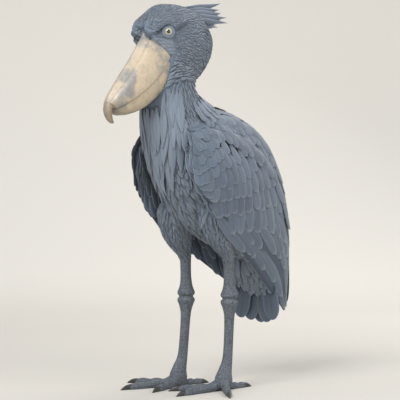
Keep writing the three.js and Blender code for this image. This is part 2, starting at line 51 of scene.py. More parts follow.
# The bird's driving sizes, in millimetres: x from its middle, y back, z from the floor
HEAD_PIVOT = (0, -140, 0)
HEAD_TURN = -0.07
EYE = {"x": 53, "y": -60, "z": 1026, "radius": 12.5, "drawn_y": -66}
BILL = {"y": -78, "z": 992, "pitch": 0.86, "length": 250}
TRUNK_SQUARE = 2.15
HEAD_SQUARE = 2.5
COAT = {"body": 7, "head": 4, "thigh": 5}  # how far the skin lies inside the plumage
MELT = {"skin": (0.0026, 5), "bill": (0.0013, 3), "leg": (0.0018, 5)}  # voxel in metres, rounds of smoothing

# Trunk stations from the tail root to the top of the neck: y, z, half width, depth of back, depth of belly
TRUNK = [
    (246, 318, 22, 12, 12),
    (212, 385, 58, 52, 46),
    (160, 455, 90, 106, 92),
    (92, 530, 112, 144, 138),
    (22, 606, 121, 160, 166),
    (-45, 678, 119, 154, 164),
    (-98, 742, 106, 128, 132),
    (-136, 802, 89, 104, 103),
    (-154, 860, 77, 86, 85),
    (-150, 915, 70, 80, 78),
    (-138, 968, 62, 70, 66),
]
# Head stations from the nape to the forehead: y, z, half width, height above, depth below
HEAD = [
    (114, 1056, 22, 26, 30),
    (100, 1046, 50, 56, 80),
    (62, 1032, 64, 80, 122),
    (10, 1022, 70, 94, 152),
    (-40, 1016, 66, 99, 172),
    (-82, 1018, 55, 92, 158),
    (-113, 1027, 43, 66, 61),
    (-124, 1035, 28, 42, 27),
]
# One brow, left side: x, y, z, half height, reach inward, reach outward
BROW = [
    (54, -8, 1052, 5, 6, 6),
    (52, -36, 1058, 12, 14, 9),
    (46, -64, 1060, 17, 20, 13),
    (38, -88, 1050, 23, 22, 16),
    (27, -106, 1044, 23, 20, 18),
    (15, -118, 1041, 18, 14, 12),
    (9, -121, 1040, 12, 8, 6),
]
# Lower edge of the brow over the face: how far forward (y) and how high (z)
BROW_EDGE = [
    (-126, 1019), (-118, 1017), (-104, 1021), (-90, 1034), (-74, 1045), (-60, 1042), (-48, 1035),
    (-20, 1050), (7, 1065),
]
# Ways the left eyeball and its lids face in the head's frame
LOOK = {"ball": (0.84, -0.54, -0.04), "lids": (0.92, -0.39, 0.0)}
EYE_INSET = 0.3
CORNEA = 0.06  # how much the eye bulges over the pupil, as a share of its radius
# Rings of skin round the eye: half width, heights above and below, distance out of the eye's middle, thickness
LIDS = [(10.7, 8.6, 9.2, 7.4, 1.7), (13.8, 11.4, 12.4, 6.8, 2.1), (17.4, 14.6, 16.4, 5.6, 2.3)]
# Bill stations: share of length, half width, ridge height, height of the mouth's line, depth of the lower jaw
BILL_STATIONS = [
    (-0.06, 50, 44, -38, 38),
    (0.1, 53, 42, -44, 51),
    (0.3, 55, 36, -45, 56),
    (0.5, 54, 32, -40, 56),
    (0.7, 47, 29, -30, 51),
    (0.86, 36, 25, -18, 40),
    (0.96, 24, 19, -9, 26),
]
# Border between skin and horn: distance from the bill's middle, share of its length
SKIN_BORDER = [(0, -0.045), (19, -0.03), (26, 0.024), (46, 0.045), (60, 0.042)]
SKIN_OVER_HORN = 2.0
SKIN_IN_HORN = 3.0
HORN_REACH = {"above": 40, "below": 12}  # how far off the horn still draws the skin, over and under the mouth
# Hook at the bill's tip, in the bill's frame: y, z, half width, depth
HOOK = [
    (-206, 10, 20, 12),
    (-230, 6, 18, 13),
    (-250, 0, 14, 13),
    (-262, -14, 10, 11),
    (-266, -28, 6.5, 7.5),
    (-264, -39, 2, 2.5),
]
# Left thigh from the body down: x, y, z, half width, depths behind and in front
THIGH = [
    (66, -50, 560, 34, 36, 36),
    (72, -44, 515, 54, 56, 64),
    (75, -32, 468, 50, 53, 58),
    (77, -14, 428, 36, 41, 42),
    (78, 2, 398, 24, 26, 27),
    (78, 9, 376, 19, 20, 20),
]
# Shank down to the hock's upper ridge: y, z, half width, depths
SHANK = [
    (9, 396, 17.5, 18, 18),
    (10, 360, 15.5, 17, 17),
    (11, 325, 15.5, 17, 17),
    (12, 302, 17.5, 19, 19),
    (12, 288, 21, 22.5, 23),
    (12, 278, 25.5, 26, 26.5),
    (12, 271, 25.5, 26.5, 26.5),
    (12, 265, 20, 21, 21),
    (12, 258, 20, 21, 21),
]
# Tarsus from the hock's lower ridge to the sole: share of the foot's own shift, y, z, half width, depths
TARSUS = [
    (0, 12, 268, 19, 20, 20),
    (0, 12, 263, 20, 21, 21),
    (0, 12, 257, 25.5, 26, 27),
    (0.02, 12, 249, 25, 26, 26.5),
    (0.05, 12, 236, 19.5, 21, 22),
    (0.15, 12, 208, 14, 16.5, 16.5),
    (0.5, 10, 140, 12.8, 15.5, 15),
    (0.8, 6, 85, 14, 17, 16),
    (1, -2, 52, 18, 26, 21),
    (1, -8, 28, 23, 32, 28),
    (1, -8, 4, 19, 26, 24),
]
LEG_X = 78
LEG_SHIFT = {"left": 8, "right": -10}
FOOT_SHIFT = {"left": 4, "right": -22}
FOOT_TURN = {"left": -3, "right": 18}
TOES = {  # heading from straight ahead in degrees, length, root radius
    "middle": (0, 168, 13),
    "inner": (-34, 140, 12),
    "outer": (50, 142, 12),
    "hind": (176, 84, 11),
}
# Knuckles of a toe: share of its length, share of its root radius
KNUCKLES = [
    (0, 1.05), (0.16, 1.08), (0.34, 0.84), (0.5, 0.94), (0.64, 0.74), (0.8, 0.84), (0.93, 0.66), (1, 0.42),
]
TOE_ROOT = {"y": -8, "front": 27, "hind": 24}  # where the toes start, and how high in front and behind
CLAW = {"length": 27, "overlap": 9, "radius": 8.6, "tip": 0.5}
SIDES = {"left": 1, "right": -1}

# Wing rails for the left wing, from the shoulder to the tip
WING_RAILS = [
    [(30, -102, 812), (0.7, -14, 822), (0.7, 112, 792), (0.7, 232, 712), (0.7, 314, 535), (18, 335, 222)],
    [(84, -136, 764), (82, -42, 786), (84, 98, 755), (80, 214, 668), (66, 304, 482), (38, 336, 212)],
    [(120, -168, 694), (143, -98, 668), (146, 10, 600), (129, 130, 514), (94, 252, 384), (46, 325, 204)],
    [(118, -174, 628), (131, -127, 545), (124, -33, 455), (104, 76, 376), (78, 190, 296), (53, 314, 202)],
]

# Photograph's camera, found from the floor line and the outline
VIEW = {"azimuth": 42, "distance": 4.0, "height": 0.58, "scale": 0.00295, "middle": (205, 190.4)}
PHOTO = 400
SENSOR = 36
# Paper sweep in metres: rows of its flat part from the camera backward, half width, radius of the bend, height,
# and where its colour starts to turn paler, out of the painted shade laid on the floor, and over what distance
SWEEP = {"flat": (-9.0, -0.4, 0.6, 1.6, 2.6), "span": 9.0, "bend": 1.6, "height": 7.0, "fade": (-0.4, 3.6)}
# Lamps: place toward the camera, to its right and up; size; power
LAMPS = {
    "key": ((2.2, -1.3, 3.2), 1.4, 98),
    "fill": ((1.6, 2.8, 1.6), 2.6, 34),
    "rim": ((-1.9, 1.6, 2.6), 1.6, 40),
    "low": ((2.6, -0.4, 0.6), 2.4, 14),
}
LAMP_AIM = (0, 0, 0.6)
WORLD = {"colour": (0.93, 0.95, 1.0, 1), "strength": 0.56}


def unit(v):
    return v / np.maximum(np.linalg.norm(v, axis=-1, keepdims=True), 1e-12)


def dot(a, b):
    return (a * b).sum(-1, keepdims=True)


def mix(a, b, share):
    return a + (b - a) * share


def smooth(low, high, v):
    t = np.clip((np.asarray(v, float) - low) / (high - low), 0, 1)
    return t * t * (3 - 2 * t)


def spline(a, b, c, d, f):
    """The smooth curve's point at the share f of the way from b to c."""
    return b + 0.5 * f * (c - a + f * (2 * a - 5 * b + 4 * c - d + f * (3 * (b - c) + d - a)))


class Curve:
    """A smooth curve through points that lie at even shares from 0 to 1."""

    def __init__(self, points):
        p = np.array(points, float)
        self.points = np.vstack([2 * p[0] - p[1], p, 2 * p[-1] - p[-2]])

    def at(self, share):
        spans = len(self.points) - 3
        share = np.clip(np.asarray(share, float), 0, 1) * spans
        i = np.minimum(share.astype(int), spans - 1)
        f = (share - i)[..., None]
        return spline(*(self.points[i + k] for k in range(4)), f)

    def along(self, share):
        step = 1e-3
        share = np.asarray(share, float)
        return unit(self.at(share + step) - self.at(share - step))


class Loft:
    """Rings along a curve. Each station holds x, y, z, half width and the depths on both sides."""

    def __init__(self, stations, side=(1, 0, 0), square=2.0, grow=0.0):
        stations = np.array(stations, float)
        self.centre = Curve(stations[:, :3])
        self.size = Curve(stations[:, 3:])
        self.side = np.array(side, float)
        self.square = square
        self.grow = grow

    def frame(self, share):
        along = self.centre.along(share)
        across = unit(self.side - along * dot(along, self.side))
        return self.centre.at(share), along, across, np.cross(along, across)

    def point(self, share, angle, lift=0.0):
        share, angle = np.broadcast_arrays(np.asarray(share, float), np.asarray(angle, float))
        centre, _, across, depth = self.frame(share)
        size = self.size.at(share)
        c, s = np.cos(angle), np.sin(angle)
        bend = lambda v: (np.sign(v) * np.abs(v) ** (2 / self.square))[..., None]
        reach = np.where(s > 0, size[..., 1], size[..., 2])[..., None] + self.grow + lift
        return centre + across * bend(c) * (size[..., :1] + self.grow + lift) + depth * bend(s) * reach

    def solid(self, around=32, rows=32):
        share = np.linspace(0, 1, rows)
        angle = np.linspace(0, 2 * math.pi, around, endpoint=False)
        rings = self.point(share[:, None], angle[None, :])
        ends = self.centre.at(np.array([0.0, 1.0]))
        return capped_tube(rings, ends)


def ring_quads(rows, around, closed=False):
    """Faces between neighbouring rings. In a closed tube the last ring meets the first."""
    i, j = np.meshgrid(np.arange(rows if closed else rows - 1), np.arange(around), indexing="ij")
    after, turn = (i + 1) % rows, (j + 1) % around
    corners = [i * around + j, i * around + turn, after * around + turn, after * around + j]
    return np.stack(corners, -1).reshape(-1, 4).tolist()


def capped_tube(rings, ends):
    rows, around, _ = rings.shape
    points = np.vstack([rings.reshape(-1, 3), ends])
    j = np.arange(around)
    turn = (j + 1) % around
    first = np.stack([np.full(around, rows * around), turn, j], -1)
    last_row = (rows - 1) * around
    last = np.stack([np.full(around, rows * around + 1), last_row + j, last_row + turn], -1)
    return points, ring_quads(rows, around) + first.tolist() + last.tolist()


def mirrored(solid):
    points, faces = solid
    return points * np.array([-1, 1, 1]), [tuple(reversed(f)) for f in faces]


def moved(solids, *steps):
    """The solids with each step, a change of frame, done to their points in turn."""
    for step in steps:
        solids = [(step(points), faces) for points, faces in solids]
    return solids


def joined(solids):
    points, faces, base = [], [], 0
    for p, f in solids:
        points.append(p)
        faces += [tuple(v + base for v in face) for face in f]
        base += len(p)
    return np.vstack(points), faces


def linked(name, data):
    piece = bpy.data.objects.new(name, data)
    bpy.context.scene.collection.objects.link(piece)
    return piece


def mesh_object(name, points, faces):
    mesh = bpy.data.meshes.new(name)
    mesh.from_pydata(np.asarray(points).tolist(), [], [tuple(f) for f in faces])
    mesh.update()
    return linked(name, mesh)


def outward(solid):
    """The same solid with its faces turned outward."""
    points, faces = solid
    volume = 0.0
    for face in faces:
        a = points[face[0]]
        for i in range(1, len(face) - 1):
            volume += np.dot(a, np.cross(points[face[i]], points[face[i + 1]]))
    return solid if volume > 0 else (points, [tuple(reversed(f)) for f in faces])


def tree_of(solids):
    points, faces = joined(map(outward, solids))
    return BVHTree.FromPolygons(points.tolist(), faces)


def apply_modifiers(piece):
    bpy.context.view_layer.update()
    graph = bpy.context.evaluated_depsgraph_get()
    made = bpy.data.meshes.new_from_object(piece.evaluated_get(graph))
    piece.modifiers.clear()
    piece.data = made


def fused(piece, kind):
    """Melts overlapping solids into one smooth skin."""
    voxel, rounds = MELT[kind]
    remesh = piece.modifiers.new("fuse", "REMESH")
    remesh.mode = "VOXEL"
    remesh.voxel_size = voxel
    soften = piece.modifiers.new("soften", "SMOOTH")
    soften.factor = 0.5
    soften.iterations = rounds
    apply_modifiers(piece)


def points_of(piece, key="co"):
    """Each point's place, or its normal."""
    values = np.empty(len(piece.data.vertices) * 3)
    piece.data.vertices.foreach_get(key, values)
    return values.reshape(-1, 3)


def faces_of(piece):
    return [tuple(face.vertices) for face in piece.data.polygons]


def move_points(piece, points):
    piece.data.vertices.foreach_set("co", np.asarray(points, float).ravel())
    piece.data.update()


def shade_smooth(piece):
    piece.data.polygons.foreach_set("use_smooth", np.ones(len(piece.data.polygons), bool))
    piece.data.update()


# Places: the model's own frame has the middle of the bird's outline over the origin
def turn_of(angle, axis):
    """The matrix of a turn about x (0), y (1) or z (2)."""
    a, b = ((1, 2), (2, 0), (0, 1))[axis]
    turn = np.eye(3)
    turn[a, a] = turn[b, b] = math.cos(angle)
    turn[b, a] = math.sin(angle)
    turn[a, b] = -math.sin(angle)
    return turn


HEAD_TURNED = turn_of(HEAD_TURN, 2)
BILL_TURNED = turn_of(BILL["pitch"], 0)
BILL_ROOT = np.array([0, BILL["y"], BILL["z"]])


def in_head(points):
    return np.asarray(points) @ HEAD_TURNED.T + np.array(HEAD_PIVOT)


def in_bill(points):
    return in_head(np.asarray(points) @ BILL_TURNED.T + BILL_ROOT)


def from_head(points):
    return (np.asarray(points) - np.array(HEAD_PIVOT)) @ HEAD_TURNED


def from_bill(points):
    return (from_head(points) - BILL_ROOT) @ BILL_TURNED


eye_centre = in_head(np.array([[EYE["x"], EYE["y"], EYE["z"]]]))[0]
low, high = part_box("eye_left")
SHIFT = np.array((low + high) / 2) - eye_centre * MM


def placed(points):
    """From the bird's own millimetres to the frame's metres."""
    return np.asarray(points) * MM + SHIFT


def bird_mm(points):
    return (np.asarray(points) - SHIFT) / MM


# Shaders
class Number:
    """A value that changes over a surface. Arithmetic on it adds Math nodes."""

    def __init__(self, finish, socket):
        self.finish = finish
        self.socket = socket

    def _math(self, operation, *values):
        return self.finish.node("ShaderNodeMath", {"operation": operation}, dict(enumerate(values))).number(0)

    def __add__(self, other):
        return self._math("ADD", self, other)

    def __radd__(self, other):
        return self._math("ADD", other, self)

    def __sub__(self, other):
        return self._math("SUBTRACT", self, other)

    def __rsub__(self, other):
        return self._math("SUBTRACT", other, self)

    def __mul__(self, other):
        return self._math("MULTIPLY", self, other)

    def __rmul__(self, other):
        return self._math("MULTIPLY", other, self)

    def __abs__(self):
        return self._math("ABSOLUTE", self)

    def sine(self):
        return self._math("SINE", self)

    def clamp(self):
        made = self._math("ADD", self, 0.0)
        made.socket.node.use_clamp = True
        return made

    def ramp(self, low, high):
        """0 below low, 1 above high, smooth between."""
        settings = {"interpolation_type": "SMOOTHSTEP"}
        sockets = {"Value": self, "From Min": low, "From Max": high}
        return self.finish.node("ShaderNodeMapRange", settings, sockets).number("Result")


class Made:
    """A node that was just added, and its outputs."""

    def __init__(self, finish, node):
        self.finish = finish
        self.node = node

    def number(self, output=0):
        return Number(self.finish, self.node.outputs[output])

    def link(self, output=0):
        return self.node.outputs[output]


class Finish:
    """A material with one Principled shader."""

    def __init__(self, name, **constants):
        self.material = bpy.data.materials.new(name)
        self.material.use_nodes = True
        self.tree = self.material.node_tree
        self.shader = next(n for n in self.tree.nodes if n.type == "BSDF_PRINCIPLED")
        for socket, value in constants.items():
            self.shader.inputs[socket.replace("_", " ")].default_value = value

    def node(self, kind, settings=None, sockets=None):
        """Adds a node. Its settings are set first, and then the values or links of its sockets."""
        node = self.tree.nodes.new(kind)
        for key, value in (settings or {}).items():
            setattr(node, key, value)
        for key, value in (sockets or {}).items():
            self.feed(node.inputs[key], value)
        return Made(self, node)

    def feed(self, socket, value):
        if isinstance(value, Number):
            self.tree.links.new(value.socket, socket)
        elif isinstance(value, bpy.types.NodeSocket):
            self.tree.links.new(value, socket)
        elif isinstance(value, tuple) and len(value) == 3 and socket.type == "RGBA":
            socket.default_value = (*value, 1)
        else:
            socket.default_value = value

    def set(self, **sockets):
        for name, value in sockets.items():
            self.feed(self.shader.inputs[name.replace("_", " ")], value)

    def attribute(self, name):
        return self.node("ShaderNodeAttribute", {"attribute_name": name}).number("Fac")

    def place(self, stretch=None):
        where = self.node("ShaderNodeTexCoord").link("Object")
        if stretch:
            where = self.node("ShaderNodeMapping", {}, {"Vector": where, "Scale": stretch}).link("Vector")
        return where

    def noise(self, scale, detail=4.0, rough=0.5, stretch=None):
        sockets = {"Vector": self.place(stretch), "Scale": scale, "Detail": detail, "Roughness": rough}
        return self.node("ShaderNodeTexNoise", {}, sockets).number(0)

    def cells(self, scale, feature="F1"):
        sockets = {"Vector": self.place(), "Scale": scale}
        return self.node("ShaderNodeTexVoronoi", {"feature": feature}, sockets).number("Distance")

    def blend(self, share, first, second):
        sockets = {"Factor": share, 6: first, 7: second}  # 6, 7 and output 2 are the node's colours
        return self.node("ShaderNodeMix", {"data_type": "RGBA"}, sockets).link(2)

    def bump(self, height, distance, strength=1.0):
        sockets = {"Height": height, "Distance": distance, "Strength": strength}
        return self.node("ShaderNodeBump", {}, sockets).link("Normal")


# Colours: one alone, or the two ends between which a finish runs
SLATE_DARK = (0.045, 0.06, 0.085)
WING_SLATE = ((0.155, 0.195, 0.25), (0.07, 0.092, 0.125), (0.31, 0.365, 0.43))  # pale, dark, edge
BODY_SLATE = ((0.225, 0.27, 0.33), (0.12, 0.15, 0.195), (0.33, 0.38, 0.44))
# Darker slate for the wing's underlayer: painted shade in the gaps between the feathers
GAP_SHADE_SLATE = ((0.12, 0.155, 0.2), (0.06, 0.08, 0.11), (0.16, 0.2, 0.25))
DOWN = ((0.085, 0.115, 0.155), (0.15, 0.19, 0.245))
BARE_FACE = ((0.12, 0.15, 0.19), (0.27, 0.3, 0.335))
HORN = ((0.38, 0.30, 0.20), (0.60, 0.495, 0.355))
HORN_GREY = ((0.12, 0.13, 0.14), (0.28, 0.28, 0.27))
HORN_TIP = (0.2, 0.155, 0.1)
HORN_LINE = (0.13, 0.12, 0.11)
SCALES = ((0.085, 0.1, 0.12), (0.165, 0.185, 0.21))
# Painted shade for the creases between the leg's scales
CREASE_SHADE = (0.06, 0.068, 0.08)
CLAW_HORN = ((0.012, 0.012, 0.014), (0.07, 0.065, 0.06))
IRIS = ((0.50, 0.44, 0.20), (0.82, 0.78, 0.52))
IRIS_RIM = (0.20, 0.17, 0.10)
PUPIL = (0.002, 0.002, 0.003)
EYE_EDGE = (0.16, 0.17, 0.18)
# Paper colours near and far: the darker near colour is painted shade on the floor
PAPER_WITH_PAINTED_SHADE = ((0.60, 0.575, 0.525), (0.90, 0.866, 0.795))  # near and far


def plumage_finish(name, pale, dark, tip):
    """Feathers: fine barbs off a shaft, a paler edge, a tone of its own for each feather, and painted shade toward
    the root, where the feathers overlap.
    """
    finish = Finish(name, Roughness=0.72, Specular_IOR_Level=0.3, Sheen_Weight=0.25, Sheen_Roughness=0.5)
    tone = finish.attribute("tone")
    across = abs(finish.attribute("across"))
    along = finish.attribute("along")
    barbs = (along * 90.0 + across * 26.0).sine() * 0.5 + 0.5
    cloud = finish.noise(9.0, 3.0)
    base = finish.blend((tone * 0.75 + cloud * 0.5 - 0.1).clamp(), dark, pale)
    edge = across.ramp(0.7, 1.0) * 0.45 + along.ramp(0.88, 1.0) * 0.5
    colour = finish.blend(edge.clamp(), base, tip)
    shaft = 1.0 - across.ramp(0.02, 0.09)
    colour = finish.blend(shaft * 0.45, colour, SLATE_DARK)
    colour = finish.blend((1.0 - barbs) * 0.16, colour, dark)
    # Darker toward the root: painted shade where each feather lies under the ones over it.
    root = 1.0 - along.ramp(0.0, 0.35)
    colour = finish.blend(root * 0.3, colour, SLATE_DARK)
    finish.set(Base_Color=colour, Normal=finish.bump(barbs, 0.0004, 0.5))
    return finish.material


def skin_finish():
    """Skin under the plumage, and the bare wrinkled face."""
    finish = Finish("skin", Roughness=0.62, Specular_IOR_Level=0.35)
    bare = finish.attribute("bare")
    cloud = finish.noise(14.0, 4.0)
    feathered = finish.blend(cloud, *DOWN)
    spots = finish.noise(70.0, 5.0)
    face = finish.blend(spots, *BARE_FACE)
    colour = finish.blend(bare.clamp(), feathered, face)
    grain = finish.cells(420.0) * 0.6 + finish.noise(260.0, 3.0) * 0.4
    finish.set(Base_Color=colour, Normal=finish.bump(grain, 0.0004, 0.45))
    return finish.material


def bill_finish():
    """Horn with grey blotches and long fine growth lines, greyer along the ridge and brown at the hook."""
    finish = Finish("bill_horn", Specular_IOR_Level=0.5, Coat_Weight=0.12, Coat_Roughness=0.25)
    along = finish.attribute("along")
    across = abs(finish.attribute("across"))
    blotch = finish.noise(17.0, 6.0, 0.62).ramp(0.46, 0.64)
    fine = finish.noise(85.0, 6.0, 0.6)
    horn = finish.blend(fine, *HORN)
    grey = finish.blend(fine, *HORN_GREY)
    ridge = 1.0 - across.ramp(0.0, 0.45)
    colour = finish.blend((blotch * 0.8 + ridge * 0.25).clamp(), horn, grey)
    colour = finish.blend(along.ramp(0.86, 1.0) * 0.55, colour, HORN_TIP)
    lines = finish.noise(24.0, 5.0, 0.6, (14.0, 1.0, 1.0))
    pits = finish.noise(300.0, 2.0)
    colour = finish.blend(lines.ramp(0.5, 0.75) * 0.28, colour, HORN_LINE)
    relief = finish.bump(lines * 0.7 + pits * 0.3, 0.0008, 0.5)
    finish.set(Base_Color=colour, Roughness=fine * 0.25 + 0.3, Normal=relief)
    return finish.material


def leg_finish():
    """Dark grey reticulate scales, darkened in the creases between them as painted shade."""
    finish = Finish("leg_scales", Specular_IOR_Level=0.4)
    crease = finish.cells(115.0, "DISTANCE_TO_EDGE").ramp(0.0, 0.12)
    cloud = finish.noise(20.0, 4.0)
    scale = finish.blend(cloud, *SCALES)
    # The creases take a darker colour: painted shade in the hollows between the scales.
    colour = finish.blend(crease, CREASE_SHADE, scale)
    finish.set(Base_Color=colour, Roughness=0.75 - crease * 0.2, Normal=finish.bump(crease, 0.0010, 0.5))
    return finish.material


def claw_finish():
    finish = Finish("claw_horn", Specular_IOR_Level=0.5)
    streak = finish.noise(60.0, 4.0)
    finish.set(Base_Color=finish.blend(streak, *CLAW_HORN), Roughness=streak * 0.2 + 0.28)
    return finish.material


def eye_finish():
    """Pale yellow-grey iris with fine spokes round a black pupil, under a wet clear coat."""
    finish = Finish("eye_wet", Roughness=0.06, Specular_IOR_Level=0.6, Coat_Weight=1.0, Coat_Roughness=0.02)
    out = finish.attribute("iris")
    spokes = finish.noise(900.0, 3.0)
    iris = finish.blend(spokes, *IRIS)
    iris = finish.blend(out.ramp(0.62, 0.78), iris, IRIS_RIM)
    colour = finish.blend(1.0 - out.ramp(0.30, 0.34), iris, PUPIL)
    colour = finish.blend(out.ramp(0.80, 0.9), colour, EYE_EDGE)
    finish.set(Base_Color=colour)
    return finish.material


def stage_finish():
    """A paper sweep, darker on the floor round the bird as painted shade, and paler where it rises behind the
    bird.
    """
    finish = Finish("studio", Roughness=0.9, Specular_IOR_Level=0.1)
    finish.set(Base_Color=finish.blend(finish.attribute("rise"), *PAPER_WITH_PAINTED_SHADE))
    return finish.material


def float_attribute(piece, name, values):
    layer = piece.data.attributes.new(name, "FLOAT", "POINT")
    layer.data.foreach_set("value", np.asarray(values, np.float32))


def dress(piece, material, slot, *nodes):
    piece.data.materials.clear()
    piece.data.materials.append(material)
    shade_smooth(piece)
    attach(piece, "root")
    if nodes:
        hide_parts(*nodes)
    return piece


# Camera, light and floor
azimuth = math.radians(VIEW["azimuth"])
TOWARD = np.array([math.sin(azimuth), -math.cos(azimuth), 0])  # from the bird to the camera
RIGHT = np.array([math.cos(azimuth), math.sin(azimuth), 0])


def aim(piece, way):
    piece.rotation_euler = Vector(way).to_track_quat("-Z", "Y").to_euler()


def make_camera():
    camera = linked("camera", bpy.data.cameras.new("camera"))
    camera.location = TOWARD * VIEW["distance"] + SHIFT * np.array([1, 1, 0]) + np.array([0, 0, VIEW["height"]])
    aim(camera, -TOWARD)
    camera.data.sensor_width = SENSOR
    camera.data.lens = SENSOR * VIEW["distance"] / (PHOTO * VIEW["scale"])
    camera.data.shift_x = (PHOTO / 2 - VIEW["middle"][0]) / PHOTO
    camera.data.shift_y = (VIEW["middle"][1] - PHOTO / 2) / PHOTO
    camera.data.clip_end = 60
    bpy.context.scene.camera = camera


def make_floor():
    """The paper sweep: flat under the bird, then bent up behind it."""
    span, bend, start = SWEEP["span"], SWEEP["bend"], SWEEP["flat"][-1]
    profile = [(p, 0) for p in SWEEP["flat"]]
    for t in np.linspace(0, math.pi / 2, 16)[1:]:
        profile.append((start + bend * math.sin(t), bend * (1 - math.cos(t))))
    profile.append((start + bend, SWEEP["height"]))
    points = [-TOWARD * p + RIGHT * s * span + np.array([0, 0, z]) for p, z in profile for s in (-1, 1)]
    faces = [(2 * i, 2 * i + 1, 2 * i + 3, 2 * i + 2) for i in range(len(profile) - 1)]
    floor = mesh_object("studio_floor", points, faces)
    behind = points_of(floor) @ -TOWARD
    first, over = SWEEP["fade"]
    # The rise attribute runs from painted shade on the floor to the paper's own paler colour behind.
    float_attribute(floor, "rise", np.clip((behind - first) / over, 0, 1) ** 2)
    floor.data.materials.append(stage_finish())
    shade_smooth(floor)


def make_light():
    for name, ((toward, right, up), size, power) in LAMPS.items():
        lamp = linked(name, bpy.data.lights.new(name, "AREA"))
        lamp.data.energy = power
        lamp.data.size = size
        lamp.location = TOWARD * toward + RIGHT * right + np.array([0, 0, up])
        aim(lamp, Vector(LAMP_AIM) - lamp.location)
    world = bpy.data.worlds.new("studio")
    world.use_nodes = True
    back = world.node_tree.nodes["Background"]
    back.inputs["Color"].default_value = WORLD["colour"]
    back.inputs["Strength"].default_value = WORLD["strength"]
    bpy.context.scene.world = world
    bpy.context.scene.view_settings.view_transform = "Standard"


# Skin
def trunk_loft(grow=0.0):
    return Loft([(0, *s) for s in TRUNK], square=TRUNK_SQUARE, grow=grow)


def head_loft(grow):
    return Loft([(0, *s) for s in HEAD], square=HEAD_SQUARE, grow=grow)


def brow_loft():
    return Loft(BROW, side=(0, 0, 1), grow=-COAT["head"] / 2)


def thigh_loft(side):
    sign, shift = SIDES[side], LEG_SHIFT[side]
    return Loft([(sign * x, y + shift, *sizes) for x, y, *sizes in THIGH], grow=-COAT["thigh"])


def skin_solids():
    brow = brow_loft().solid(24, 32)
    head = moved([head_loft(-COAT["head"]).solid(64, 64), brow, mirrored(brow)], in_head)
    thighs = [thigh_loft(side).solid(32, 32) for side in SIDES]
    return [trunk_loft(-COAT["body"]).solid(72, 80), *head, *thighs]


def brow_lift(x, y, over):
    """The brow's pillow and the groove under its edge."""
    brow = smooth(14, -26, y) * smooth(6, 14, x) * (1 - 0.5 * smooth(-96, -116, y))
    pillow = 7.5 * brow * smooth(-2.0, 2.5, over) * smooth(60, 4, over)
    return pillow - 4.0 * brow * np.exp(-((over + 5) / 4) ** 2)


def cheek_folds(y, z, near):
    """The wrinkled patch under the eye: where it lies and how far each fold stands out."""
    sag = 1009 - z
    behind = y + 54 - 0.25 * sag
    zone = near * smooth(-4, 5, sag) * smooth(52, 40, sag) * smooth(4, -6, behind)
    phase = (z + 0.22 * (y + 80) + 2.6 * np.sin(y * 0.17) + 1.2 * np.sin(y * 0.4 + z * 0.1)) * 2 * math.pi / 9.5
    return zone, zone * (1.7 * np.sin(phase) + 0.5 * np.sin(phase * 2.3 + 1.0))


def face_marks(local):
    """For points in the head's frame: how bare the skin is and how far its folds stand out."""
    x, y, z = np.abs(local[:, 0]), local[:, 1], local[:, 2]
    near = smooth(18, 28, x)
    out = np.hypot(y - EYE["drawn_y"], z - EYE["z"])
    over = z - np.interp(y, *zip(*BROW_EDGE))
    parting = 5.0 * np.exp(-(x / 3.2) ** 2) * smooth(-88, -104, y) * smooth(1012, 1024, z)
    socket = 8.5 * np.exp(-(out / 14.0) ** 2) * near
    rings = 1.3 * np.cos((out - 14) * 2 * math.pi / 6.2) * np.exp(-((out - 15) / 7) ** 2) * near * (over < 0)
    zone, folds = cheek_folds(y, z, near)
    bare = np.maximum(zone, near * smooth(21, 16, out) * (over < 1))
    return np.clip(bare, 0, 1), brow_lift(x, y, over) - parting - socket + rings + folds


def mouth_height(local):
    """Height of the mouth's line in the bill's frame."""
    share = -local[:, 1] / BILL["length"]
    return np.interp(share, [s[0] for s in BILL_STATIONS], [s[3] for s in BILL_STATIONS])


def bill_border(local):
    """How far each point in the bill's frame lies in front of the line where skin gives way to horn, in mm."""
    x, share = np.abs(local[:, 0]), -local[:, 1] / BILL["length"]
    upper = np.interp(x, *zip(*SKIN_BORDER))
    below = np.clip((mouth_height(local) - local[:, 2]) / 44, 0, 1)
    return (share - upper - 0.34 * below) * BILL["length"]


def fit_to_bill(points):
    """Behind its border the skin covers the horn, and in front of it the skin is tucked inside."""
    local = from_bill(points)
    ahead = bill_border(local)
    reach = np.where(local[:, 2] > mouth_height(local), HORN_REACH["above"], HORN_REACH["below"])
    for i in np.flatnonzero((ahead > -26) & (ahead < 200)):
        spot, normal, _, distance = horn_tree.find_nearest(Vector(points[i]), HORN_REACH["above"])
        inside = spot is not None and (Vector(points[i]) - spot).dot(normal) < 0
        if spot is None or (not inside and distance > reach[i]):
            continue
        if ahead[i] < 0 and (inside or distance < SKIN_OVER_HORN):
            points[i] = spot + normal * SKIN_OVER_HORN
        elif ahead[i] >= 0 and (not inside or distance < SKIN_IN_HORN):
            points[i] = spot - normal * SKIN_IN_HORN
    return points


def relaxed(piece, points, weight, rounds):
    """Evens out the points that carry weight."""
    edges = np.array([tuple(e.vertices) for e in piece.data.edges])
    count = np.bincount(edges.ravel(), minlength=len(points))[:, None]
    for _ in range(rounds):
        total = np.zeros_like(points)
        np.add.at(total, edges[:, 0], points[edges[:, 1]])
        np.add.at(total, edges[:, 1], points[edges[:, 0]])
        points = mix(points, total / count, weight[:, None])
    return points


def make_skin():
    skin = mesh_object("skin", *joined(moved(skin_solids(), placed)))
    fused(skin, "skin")
    points = bird_mm(points_of(skin))
    local = from_head(points)
    forehead = smooth(-20, -50, local[:, 1]) * smooth(1036, 1050, local[:, 2])
    points = relaxed(skin, points, forehead * 0.8, 60)
    bare, lift = face_marks(from_head(points))
    points = points + points_of(skin, "normal") * lift[:, None]
    move_points(skin, placed(fit_to_bill(points)))
    float_attribute(skin, "bare", bare)
    nodes = ["torso", "neck", "head", "thigh_left", "thigh_right"]
    return dress(skin, skin_material, "plumage", *nodes)


